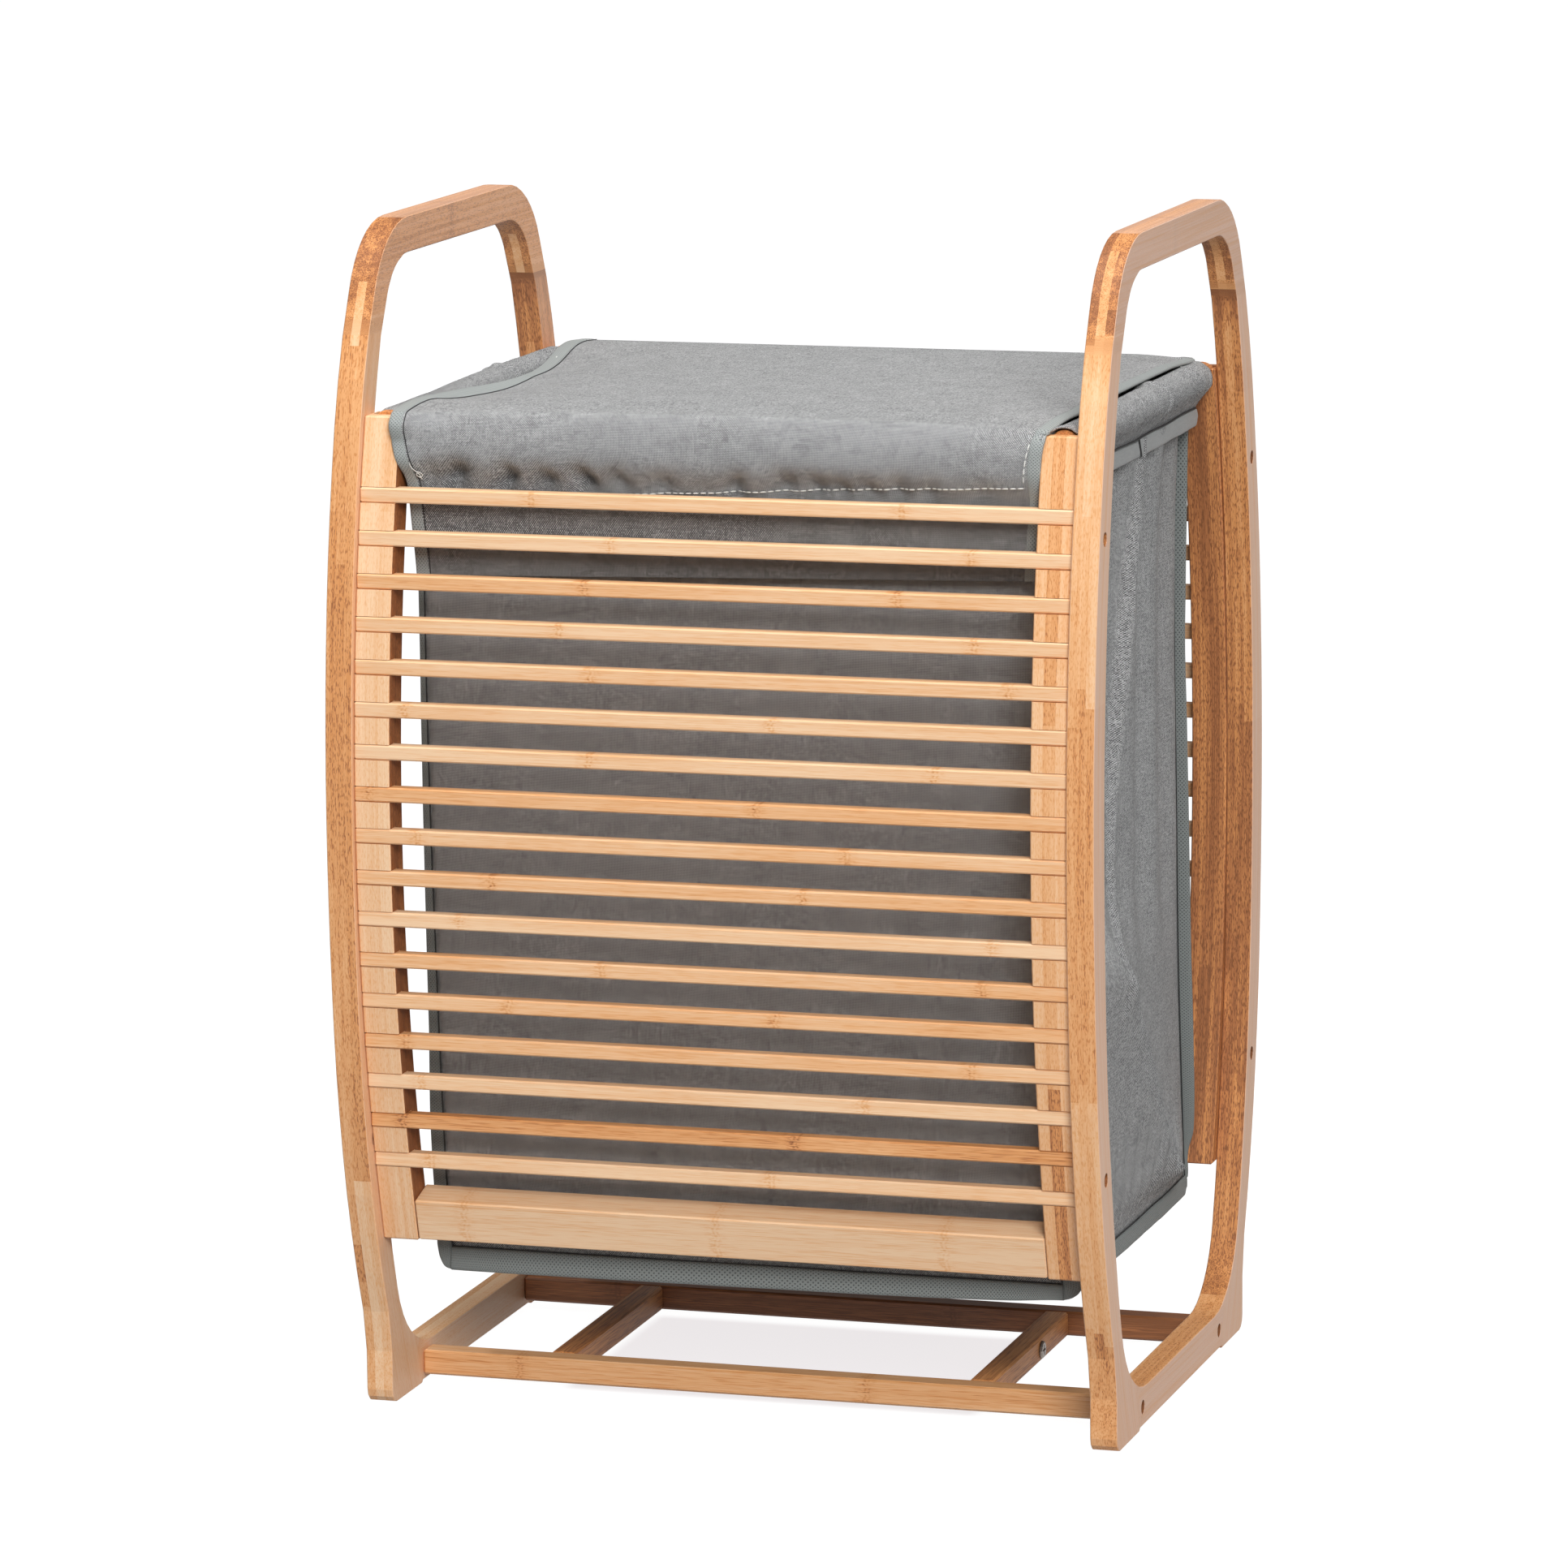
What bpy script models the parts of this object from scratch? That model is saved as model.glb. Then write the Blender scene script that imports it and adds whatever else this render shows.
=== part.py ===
"""Laundry hamper: two bowed bamboo side frames, slatted panels, and a cloth bag with a lid on two rods.

Metres, +Z up. The origin is on the floor under the middle, X runs across the front and Y to the back.
"""
import math

import bmesh
import bpy
from mathutils import Matrix

# The whole hamper
HEIGHT = 0.650
WIDTH = 0.426
DEPTH = 0.379
CLEARANCE = 0.0003
CUT_OVERRUN = 0.004
HALF_WIDTH = WIDTH / 2
HALF_DEPTH = DEPTH / 2

# Side frames: closed rings of three glued plies, bowed to front and back
FRAME_THICKNESS = 0.015
LIMB = 0.0224
HANDLE_THICKNESS = 0.020
BASE_LIMB_TOP = 0.0225
FOOT_RELIEF = 0.0015
FOOT_LENGTH = 0.0485
FOOT_HEIGHT = 0.030
FOOT_CORNER = 0.008
HANDLE_CORNER = 0.060
HANDLE_INSET = 0.106
INNER_FOOT_CORNER = 0.0585
FRAME_EDGE = 0.0012
CORNER_START = math.radians(24.2)
INNER_CORNER_START = math.radians(32)
INNER_FOOT_END = math.radians(17)
FOOT_DEPTH_SHARE = 0.756
# Height and depth of the bow between the foot and the handle's corner, from the floor up
BOW_SHARES = ((0.068, 0.764), (0.1354, 0.843), (0.2154, 0.914), (0.3308, 0.973),
              (0.5185, 1.0), (0.6831, 0.966), (0.8154, 0.888), (0.8969, 0.807))
# Height and width of the limb, which narrows at the foot and at the handle
LIMB_SHARES = ((0.09, 0.87), (0.21, 1.0), (0.85, 0.98), (0.95, 0.90))
BOW_STEPS = 25
CORNER_STEPS = 8
FOOT_CORNER_STEPS = 3

# Front and back panels: two sawn stiles, slats let into their faces and a rail at the bottom
STILE_WIDTH = 0.020
STILE_DEPTH = 0.020
PANEL_DROP = 0.100
STILE_BOTTOM = 0.0965
PANEL_TOP_RECESS = 0.0046
PANEL_MIDDLE_RECESS = 0.0032
PANEL_BOTTOM_RECESS = 0.009
PANEL_EDGE = 0.0008
STILE_STEPS = 20
SLAT_COUNT = 17
SLAT_HEIGHT = 0.008
SLAT_DEPTH = 0.009
TOP_SLAT_DROP = 0.0413
LAST_SLAT_RISE = 0.0234
BOTTOM_RAIL_HEIGHT = 0.024

# Base: two rails between the side frames and two braces between the rails
BASE_RAIL = 0.014
BASE_RAIL_INSET = 0.0008
BRACE_INSET = 0.0777

# Screws
COUNTERBORE = 0.008
COUNTERBORE_DEPTH = 0.006
SCREW_HOLE = 0.0042
SCREW_BITE = 0.013
BRACE_SCREW_HEAD = 0.010
BRACE_SCREW_RISE = 0.0015
BRACE_SCREW_BITE = 0.009
BRACE_SCREW_OFFSET = 0.020
RECESS_ARM = 0.0056
RECESS_WIDTH = 0.0012
RECESS_DEPTH = 0.0008
SCREW_SIDES = 12

# Hanging rods, which lie in open notches in the stiles
ROD_DIAMETER = 0.016
ROD_RISE = 0.0023
ROD_NOTCH_DEPTH = 0.0115
ROD_EDGE = 0.0008
ROD_SIDES = 24

# Cloth bag
CLOTH = 0.0016
SLEEVE_CLOTH = 0.0012
SLEEVE_SETBACK = 0.0055
BAG_FLOOR = 0.0785
BAG_TOP_INSET = 0.0037
BAG_MIDDLE_INSET = 0.0092
BAG_BOTTOM_INSET = 0.0117
BAG_MIDDLE_SWELL = 0.003
BAG_BOTTOM_DRAW = 0.0015
BAG_LEVEL_SHARES = (0.0, 0.08, 0.5, 0.9, 1.0)
HEM_HEIGHT = 0.010
HEM_CLOTH = 0.0012

# Lid and the skirt that hangs from its front edge
LID_SIDE_INSET = 0.0052
LID_LIFT = 0.0007
LID_OVERHANG = 0.0105
SKIRT_SIDE_GAP = 0.0006
SKIRT_SLAT_GAP = 0.0045
SKIRT_BEND = 0.008
SKIRT_DROP = 0.0915
PUCKER_DEPTH = 0.0018
PUCKER_WIDTH = 0.0065
PUCKER_PLACE_SHARES = (-0.926, -0.817, -0.644, -0.432, 0.056, 0.203, 0.299, 0.376, 0.466, 0.563, 0.658)
SKIRT_COLUMNS = 62
SKIRT_ROW_SHARES = (0.0, 0.12, 0.28, 0.42, 0.7, 1.0)
PUCKER_FADE_SHARE = 0.42
BEND_STEPS = 3

FRAME_INNER = HALF_WIDTH - FRAME_THICKNESS
STILE_OUTER = FRAME_INNER - CLEARANCE
STILE_INNER = STILE_OUTER - STILE_WIDTH
STILE_CENTRE = STILE_OUTER - STILE_WIDTH / 2
HANDLE_CENTRE = HALF_DEPTH - HANDLE_INSET
HANDLE_CORNER_HEIGHT = HEIGHT - HANDLE_CORNER
FOOT_FRONT = FOOT_DEPTH_SHARE * HALF_DEPTH
FOOT_BACK = FOOT_FRONT - FOOT_LENGTH
STILE_TOP = HEIGHT - PANEL_DROP
TOP_SLAT = STILE_TOP - TOP_SLAT_DROP
LAST_SLAT = STILE_BOTTOM + BOTTOM_RAIL_HEIGHT + LAST_SLAT_RISE
SLAT_PITCH = (TOP_SLAT - LAST_SLAT) / (SLAT_COUNT - 1)
BASE_RAIL_CENTRE = (FOOT_RELIEF + BASE_LIMB_TOP) / 2
BASE_RAIL_PLACE = FOOT_BACK - BASE_RAIL_INSET - BASE_RAIL / 2
BRACE_PLACE = FRAME_INNER - BRACE_INSET
ROD_RADIUS = ROD_DIAMETER / 2
ROD_CENTRE = STILE_TOP + ROD_RISE - ROD_RADIUS
SLEEVE_INNER = ROD_RADIUS + CLEARANCE
SLEEVE_OUTER = SLEEVE_INNER + SLEEVE_CLOTH
BAG_TOP_SIDE = STILE_CENTRE - BAG_TOP_INSET
BAG_MIDDLE_SIDE = STILE_CENTRE - BAG_MIDDLE_INSET
BAG_BOTTOM_SIDE = STILE_CENTRE - BAG_BOTTOM_INSET
BAG_TOP = ROD_CENTRE - math.sqrt(SLEEVE_OUTER ** 2 - BAG_TOP_INSET ** 2) - CLEARANCE

BAMBOO_FRAME = (0.62, 0.36, 0.18)
BAMBOO_PANEL = (0.80, 0.55, 0.31)
BAMBOO_ROD = (0.72, 0.42, 0.24)
GREY_CLOTH = (0.22, 0.22, 0.215)
GREY_TRIM = (0.26, 0.29, 0.28)
STEEL = (0.55, 0.54, 0.52)


def clear_scene():
    for item in list(bpy.data.objects):
        bpy.data.objects.remove(item, do_unlink=True)


def new_collection(name):
    group = bpy.data.collections.new(name)
    bpy.context.scene.collection.children.link(group)
    return group


clear_scene()
PARTS = new_collection("laundry_hamper")
CUTTERS = new_collection("cutters")


def new_material(name, colour, roughness, metallic=0.0):
    surface = bpy.data.materials.new(name)
    surface.use_nodes = True
    shader = surface.node_tree.nodes["Principled BSDF"]
    shader.inputs["Base Color"].default_value = (*colour, 1.0)
    shader.inputs["Roughness"].default_value = roughness
    shader.inputs["Metallic"].default_value = metallic
    return surface


FRAME_BAMBOO = new_material("frame_bamboo", BAMBOO_FRAME, 0.45)
PANEL_BAMBOO = new_material("panel_bamboo", BAMBOO_PANEL, 0.5)
ROD_BAMBOO = new_material("rod_bamboo", BAMBOO_ROD, 0.5)
CLOTH_GREY = new_material("cloth_grey", GREY_CLOTH, 0.95)
TRIM_GREY = new_material("trim_grey", GREY_TRIM, 0.85)
SCREW_STEEL = new_material("screw_steel", STEEL, 0.35, 1.0)


def add_object(name, data, surface=None):
    """Link a piece, or a cutter when it has no surface."""
    piece = bpy.data.objects.new(name, data)
    if surface is None:
        CUTTERS.objects.link(piece)
        piece.hide_render = True
        piece.display_type = "WIRE"
        return piece
    PARTS.objects.link(piece)
    data.materials.clear()
    data.materials.append(surface)
    return piece


def mesh_from(shape, name):
    mesh = bpy.data.meshes.new(name)
    shape.to_mesh(mesh)
    shape.free()
    return mesh


def evaluated_mesh(piece):
    bpy.context.view_layer.update()
    graph = bpy.context.evaluated_depsgraph_get()
    return bpy.data.meshes.new_from_object(piece.evaluated_get(graph))


def chamfer(piece, width):
    bevel = piece.modifiers.new("edges", "BEVEL")
    bevel.width = width
    bevel.segments = 1
    bevel.limit_method = "ANGLE"
    bevel.angle_limit = math.radians(60)


def cut(piece, cutter):
    boolean = piece.modifiers.new(cutter.name, "BOOLEAN")
    boolean.operation = "DIFFERENCE"
    boolean.solver = "EXACT"
    boolean.object = cutter


def add_block(shape, size, place):
    bmesh.ops.create_cube(shape, size=1.0, matrix=Matrix.Translation(place) @ Matrix.Diagonal((*size, 1.0)))


def block(name, size, place, surface, edge, tilt=0.0):
    """Make a chamfered bar, turned about X by the tilt."""
    shape = bmesh.new()
    add_block(shape, size, (0.0, 0.0, 0.0))
    piece = add_object(name, mesh_from(shape, name), surface)
    piece.location = place
    piece.rotation_euler = (tilt, 0.0, 0.0)
    chamfer(piece, edge)
    return piece


def cylinder_along_y(radius, length, cap_ends):
    shape = bmesh.new()
    bmesh.ops.create_cone(shape, cap_ends=cap_ends, segments=ROD_SIDES, radius1=radius, radius2=radius,
                          depth=length, matrix=Matrix.Rotation(math.pi / 2, 4, "X"))
    return mesh_from(shape, "cylinder")


def upright_plate(name, outlines, thickness, middle, surface):
    """Make a flat plate across X from closed outlines of (y, z) points; inner outlines are holes."""
    outline = bpy.data.curves.new(name, "CURVE")
    outline.dimensions = "2D"
    outline.fill_mode = "BOTH"
    outline.extrude = thickness / 2
    for points in outlines:
        spline = outline.splines.new("POLY")
        spline.points.add(len(points) - 1)
        for point, (depth, height) in zip(spline.points, points):
            point.co = (depth, height, 0.0, 1.0)
        spline.use_cyclic_u = True
    guide = bpy.data.objects.new(name + "_outline", outline)
    CUTTERS.objects.link(guide)
    guide.rotation_euler = (math.pi / 2, 0.0, math.pi / 2)
    guide.location = (middle, 0.0, 0.0)
    mesh = evaluated_mesh(guide)
    welded = bmesh.new()
    welded.from_mesh(mesh)
    bmesh.ops.remove_doubles(welded, verts=welded.verts, dist=CLEARANCE / 10)
    welded.to_mesh(mesh)
    welded.free()
    plate = add_object(name, mesh, surface)
    plate.matrix_world = guide.matrix_world
    bpy.data.objects.remove(guide, do_unlink=True)
    return plate


def smooth_value(rows, place):
    """Read a smooth curve through the rows of (place, value) at one place."""
    last = len(rows) - 1
    low = max(index for index in range(last) if index == 0 or rows[index][0] <= place)

    def slope(index):
        before, after = rows[max(index - 1, 0)], rows[min(index + 1, last)]
        return (after[1] - before[1]) / (after[0] - before[0])

    span = rows[low + 1][0] - rows[low][0]
    share = (place - rows[low][0]) / span
    rest = 1 - share
    return ((1 + 2 * share) * rest ** 2 * rows[low][1] + share * rest ** 2 * span * slope(low)
            + (1 + 2 * rest) * share ** 2 * rows[low + 1][1]
            - rest * share ** 2 * span * slope(low + 1))


def arc(centre, radius, start, end, steps):
    """Points of (y, z) round an arc; angles count up from the Y axis."""
    turns = [start + (end - start) * step / steps for step in range(steps + 1)]
    return [(centre[0] + radius * math.cos(turn), centre[1] + radius * math.sin(turn)) for turn in turns]


def mirrored(half):
    """Close an outline whose half at +Y runs from the bottom to the top."""
    return half + [(-depth, height) for depth, height in reversed(half)]


HANDLE_ARC = arc((HANDLE_CENTRE, HANDLE_CORNER_HEIGHT), HANDLE_CORNER,
                 CORNER_START, math.pi / 2, CORNER_STEPS)
BOW_ROWS = ([(FOOT_HEIGHT, FOOT_FRONT)]
            + [(height * HEIGHT, depth * HALF_DEPTH) for height, depth in BOW_SHARES]
            + [(HANDLE_ARC[0][1], HANDLE_ARC[0][0])])
LIMB_ROWS = [(height * HEIGHT, width * LIMB) for height, width in LIMB_SHARES]


def bow(height):
    """Half depth of a side frame's outer edge at a height."""
    return smooth_value(BOW_ROWS, height)


def inner_bow(height):
    return bow(height) - smooth_value(LIMB_ROWS, height)


def heights_between(low, high, steps):
    return [low + (high - low) * step / steps for step in range(steps + 1)]


def frame_outer_outline():
    half = [(FOOT_BACK - FOOT_RELIEF, FOOT_RELIEF), (FOOT_BACK, 0.0)]
    half += arc((FOOT_FRONT - FOOT_CORNER, FOOT_CORNER), FOOT_CORNER, -math.pi / 2, 0.0, FOOT_CORNER_STEPS)
    half += [(bow(height), height) for height in heights_between(FOOT_HEIGHT, HANDLE_ARC[0][1], BOW_STEPS)]
    return mirrored(half + HANDLE_ARC[1:])


def frame_inner_outline():
    corner_height = BASE_LIMB_TOP + INNER_FOOT_CORNER
    foot_end = corner_height - INNER_FOOT_CORNER * math.sin(INNER_FOOT_END)
    foot_centre = inner_bow(foot_end) - INNER_FOOT_CORNER * math.cos(INNER_FOOT_END)
    handle_arc = arc((HANDLE_CENTRE, HANDLE_CORNER_HEIGHT), HANDLE_CORNER - HANDLE_THICKNESS,
                     INNER_CORNER_START, math.pi / 2, CORNER_STEPS)
    half = arc((foot_centre, corner_height), INNER_FOOT_CORNER, -math.pi / 2, -INNER_FOOT_END, CORNER_STEPS)
    heights = heights_between(foot_end, handle_arc[0][1], BOW_STEPS)
    half += [(inner_bow(height), height) for height in heights[1:-1]]
    return mirrored(half + handle_arc)


def circle_through(points):
    """Centre and radius of the circle through three points of (y, z)."""
    (ay, az), (by, bz), (cy, cz) = points
    twice = 2 * (ay * (bz - cz) + by * (cz - az) + cy * (az - bz))
    a2, b2, c2 = ay ** 2 + az ** 2, by ** 2 + bz ** 2, cy ** 2 + cz ** 2
    centre_y = (a2 * (bz - cz) + b2 * (cz - az) + c2 * (az - bz)) / twice
    centre_z = (a2 * (cy - by) + b2 * (ay - cy) + c2 * (by - ay)) / twice
    return centre_y, centre_z, math.hypot(ay - centre_y, az - centre_z)


STILE_MIDDLE = (STILE_TOP + STILE_BOTTOM) / 2
PANEL_Y, PANEL_Z, PANEL_RADIUS = circle_through((
    (bow(STILE_BOTTOM) - PANEL_BOTTOM_RECESS, STILE_BOTTOM),
    (bow(STILE_MIDDLE) - PANEL_MIDDLE_RECESS, STILE_MIDDLE),
    (bow(STILE_TOP) - PANEL_TOP_RECESS, STILE_TOP)))


def panel_face(height, inset=0.0):
    """Half depth of the panels' outer face at a height, or of the face that lies the inset within it."""
    return PANEL_Y + math.sqrt((PANEL_RADIUS - inset) ** 2 - (height - PANEL_Z) ** 2)


SLEEVE_END = panel_face(ROD_CENTRE, STILE_DEPTH) - SLEEVE_SETBACK
SLAT_HEIGHTS = [TOP_SLAT - SLAT_PITCH * index for index in range(SLAT_COUNT)]
PANEL_SCREW_HEIGHTS = (TOP_SLAT - SLAT_PITCH / 2, LAST_SLAT + SLAT_PITCH / 2)


def screw_places():
    """Where screws cross a side frame, as (y, z)."""
    places = []
    for face in (-1, 1):
        for height in PANEL_SCREW_HEIGHTS:
            places.append((face * (bow(height) + inner_bow(height)) / 2, height))
        places.append((face * BASE_RAIL_PLACE, BASE_RAIL_CENTRE))
    return places


def turned_mesh(name, profile):
    """Turn a profile of (radius, height) points, given from the top down, about Z."""
    shape = bmesh.new()
    corners = [shape.verts.new((radius, 0.0, height)) for radius, height in profile]
    for first, second in zip(corners, corners[1:]):
        shape.edges.new((first, second))
    guide = add_object(name + "_profile", mesh_from(shape, name))
    screw = guide.modifiers.new("turn", "SCREW")
    screw.steps = SCREW_SIDES
    screw.render_steps = SCREW_SIDES
    screw.use_merge_vertices = True
    screw.merge_threshold = CLEARANCE / 10
    mesh = evaluated_mesh(guide)
    bpy.data.objects.remove(guide, do_unlink=True)
    return mesh


def cutter_copies(name, mesh, matrices):
    """Join copies of one closed mesh, which stay apart from each other, into a cutter."""
    shape = bmesh.new()
    for matrix in matrices:
        start = len(shape.verts)
        shape.from_mesh(mesh)
        shape.verts.ensure_lookup_table()
        bmesh.ops.transform(shape, matrix=matrix, verts=shape.verts[start:])
    return add_object(name, mesh_from(shape, name))


def outward(side):
    """Turn +Z to the side's outward X direction."""
    return Matrix.Rotation(side * math.pi / 2, 4, "Y")


SEAT = HALF_WIDTH - COUNTERBORE_DEPTH
SCREW_LENGTH = FRAME_THICKNESS - COUNTERBORE_DEPTH + SCREW_BITE
SCREW_HOLE_MESH = turned_mesh("screw_hole", (
    (0.0, COUNTERBORE_DEPTH + CUT_OVERRUN), (COUNTERBORE / 2, COUNTERBORE_DEPTH + CUT_OVERRUN),
    (COUNTERBORE / 2, 0.0), (SCREW_HOLE / 2, 0.0), (SCREW_HOLE / 2, -SCREW_LENGTH), (0.0, -SCREW_LENGTH)))
BRACE_HOLE_MESH = turned_mesh("brace_screw_hole", (
    (0.0, CUT_OVERRUN), (SCREW_HOLE / 2, CUT_OVERRUN),
    (SCREW_HOLE / 2, -BRACE_SCREW_BITE - CLEARANCE), (0.0, -BRACE_SCREW_BITE - CLEARANCE)))


def screw_matrices(places, sides=(-1, 1)):
    return [Matrix.Translation((side * SEAT, depth, height)) @ outward(side)
            for side in sides for depth, height in places]


def make_side_frame(side, name):
    middle = side * (HALF_WIDTH - FRAME_THICKNESS / 2)
    outlines = (frame_outer_outline(), frame_inner_outline())
    frame = upright_plate(name, outlines, FRAME_THICKNESS, middle, FRAME_BAMBOO)
    chamfer(frame, FRAME_EDGE)
    cut(frame, cutter_copies(name + "_holes", SCREW_HOLE_MESH, screw_matrices(screw_places(), (side,))))


def stile_outline(face):
    heights = heights_between(STILE_BOTTOM, STILE_TOP, STILE_STEPS)
    outer = [(face * panel_face(height), height) for height in heights]
    inner = [(face * panel_face(height, STILE_DEPTH), height) for height in reversed(heights)]
    return outer + inner


def rod_notch(shape, side, face):
    """Add the open-topped notch that takes a rod's end."""
    reach = ROD_NOTCH_DEPTH + STILE_DEPTH
    bottom = panel_face(ROD_CENTRE, STILE_DEPTH) + ROD_NOTCH_DEPTH
    middle = face * (bottom - reach / 2)
    radius = ROD_RADIUS + CLEARANCE
    outline = arc((side * STILE_CENTRE, ROD_CENTRE), radius, -math.pi, 0.0, ROD_SIDES // 2)
    outline += [(side * STILE_CENTRE + radius, STILE_TOP + CUT_OVERRUN),
                (side * STILE_CENTRE - radius, STILE_TOP + CUT_OVERRUN)]
    corners = [shape.verts.new((across, middle - reach / 2, height)) for across, height in outline]
    end = shape.faces.new(corners)
    pushed = bmesh.ops.extrude_face_region(shape, geom=[end])
    moved = [item for item in pushed["geom"] if isinstance(item, bmesh.types.BMVert)]
    bmesh.ops.translate(shape, verts=moved, vec=(0.0, reach, 0.0))


def stile_cutter(name, side, face):
    shape = bmesh.new()
    notch_depth = SLAT_DEPTH + CLEARANCE
    for height in SLAT_HEIGHTS:
        place = (side * STILE_CENTRE, face * (panel_face(height) - notch_depth / 2 + CUT_OVERRUN / 2), height)
        size = (STILE_WIDTH + CUT_OVERRUN, notch_depth + CUT_OVERRUN, SLAT_HEIGHT + 2 * CLEARANCE)
        add_block(shape, size, place)
    rod_notch(shape, side, face)
    bmesh.ops.recalc_face_normals(shape, faces=shape.faces)
    return add_object(name, mesh_from(shape, name))


def make_stile(side, face, name):
    stile = upright_plate(name, (stile_outline(face),), STILE_WIDTH, side * STILE_CENTRE, PANEL_BAMBOO)
    chamfer(stile, PANEL_EDGE)
    cut(stile, stile_cutter(name + "_notches", side, face))
    places = [place for place in screw_places() if place[0] * face > 0 and place[1] > STILE_BOTTOM]
    cut(stile, cutter_copies(name + "_holes", SCREW_HOLE_MESH, screw_matrices(places, (side,))))


def make_panel(face, face_name):
    for side, side_name in ((-1, "left"), (1, "right")):
        make_stile(side, face, f"{face_name}_stile_{side_name}")
    for index, height in enumerate(SLAT_HEIGHTS):
        place = (0.0, face * (panel_face(height) - SLAT_DEPTH / 2), height)
        block(f"{face_name}_slat_{index + 1:02d}", (2 * STILE_OUTER, SLAT_DEPTH, SLAT_HEIGHT),
              place, PANEL_BAMBOO, PANEL_EDGE)
    lean = math.asin((STILE_BOTTOM + BOTTOM_RAIL_HEIGHT / 2 - PANEL_Z) / PANEL_RADIUS)
    middle = PANEL_RADIUS - STILE_DEPTH / 2
    place = (0.0, face * (PANEL_Y + middle * math.cos(lean)), PANEL_Z + middle * math.sin(lean))
    size = (2 * (STILE_INNER - CLEARANCE), STILE_DEPTH, BOTTOM_RAIL_HEIGHT)
    block(f"{face_name}_bottom_rail", size, place, PANEL_BAMBOO, PANEL_EDGE, face * lean)


def make_base():
    rail_length = 2 * (FRAME_INNER - CLEARANCE)
    for face, face_name in ((-1, "front"), (1, "back")):
        name = f"base_rail_{face_name}"
        rail = block(name, (rail_length, BASE_RAIL, BASE_RAIL),
                     (0.0, face * BASE_RAIL_PLACE, BASE_RAIL_CENTRE), PANEL_BAMBOO, FRAME_EDGE)
        places = ((face * BASE_RAIL_PLACE, BASE_RAIL_CENTRE),)
        cut(rail, cutter_copies(name + "_holes", SCREW_HOLE_MESH, screw_matrices(places)))
    brace_length = 2 * BASE_RAIL_PLACE - BASE_RAIL - 2 * CLEARANCE
    for side, side_name in ((-1, "left"), (1, "right")):
        name = f"base_brace_{side_name}"
        brace = block(name, (BASE_RAIL, brace_length, BASE_RAIL),
                      (side * BRACE_PLACE, 0.0, BASE_RAIL_CENTRE), PANEL_BAMBOO, FRAME_EDGE)
        cut(brace, cutter_copies(name + "_hole", BRACE_HOLE_MESH, (brace_screw_matrix(side),)))


def brace_screw_matrix(side):
    place = (side * (BRACE_PLACE + BASE_RAIL / 2), BRACE_SCREW_OFFSET, BASE_RAIL_CENTRE)
    return Matrix.Translation(place) @ outward(side)


def brace_screw_mesh():
    """A flat-headed screw along Z with a cross cut in its head, which rests at Z = 0."""
    top = CLEARANCE + BRACE_SCREW_RISE
    shank = SCREW_HOLE / 2 - CLEARANCE
    blank = add_object("brace_screw_blank", turned_mesh("brace_screw", (
        (0.0, top), (BRACE_SCREW_HEAD / 2 - RECESS_DEPTH, top), (BRACE_SCREW_HEAD / 2, top - RECESS_DEPTH),
        (BRACE_SCREW_HEAD / 2, CLEARANCE), (shank, CLEARANCE), (shank, -BRACE_SCREW_BITE),
        (0.0, -BRACE_SCREW_BITE))))
    for name, size in (("long", (RECESS_ARM, RECESS_WIDTH)), ("cross", (RECESS_WIDTH, RECESS_ARM))):
        shape = bmesh.new()
        add_block(shape, (*size, 2 * RECESS_DEPTH), (0.0, 0.0, top))
        cut(blank, add_object("recess_" + name, mesh_from(shape, "recess")))
    mesh = evaluated_mesh(blank)
    bpy.data.objects.remove(blank, do_unlink=True)
    return mesh


def make_brace_screws():
    mesh = brace_screw_mesh()
    for side, side_name in ((-1, "left"), (1, "right")):
        screw = add_object(f"brace_screw_{side_name}", mesh, SCREW_STEEL)
        screw.matrix_world = brace_screw_matrix(side)


def thicken(piece, thickness, offset=-1.0):
    shell = piece.modifiers.new("cloth", "SOLIDIFY")
    shell.thickness = thickness
    shell.offset = offset
    shell.use_even_offset = True


def make_hangers():
    rod_length = 2 * (panel_face(ROD_CENTRE, STILE_DEPTH) + ROD_NOTCH_DEPTH - CLEARANCE)
    for side, side_name in ((-1, "left"), (1, "right")):
        stick = cylinder_along_y(ROD_RADIUS, rod_length, True)
        rod = add_object(f"hanging_rod_{side_name}", stick, ROD_BAMBOO)
        rod.location = (side * STILE_CENTRE, 0.0, ROD_CENTRE)
        chamfer(rod, ROD_EDGE)
        tube = cylinder_along_y(SLEEVE_OUTER, 2 * SLEEVE_END, False)
        sleeve = add_object(f"rod_sleeve_{side_name}", tube, CLOTH_GREY)
        sleeve.location = (side * STILE_CENTRE, 0.0, ROD_CENTRE)
        thicken(sleeve, SLEEVE_CLOTH)


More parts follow.
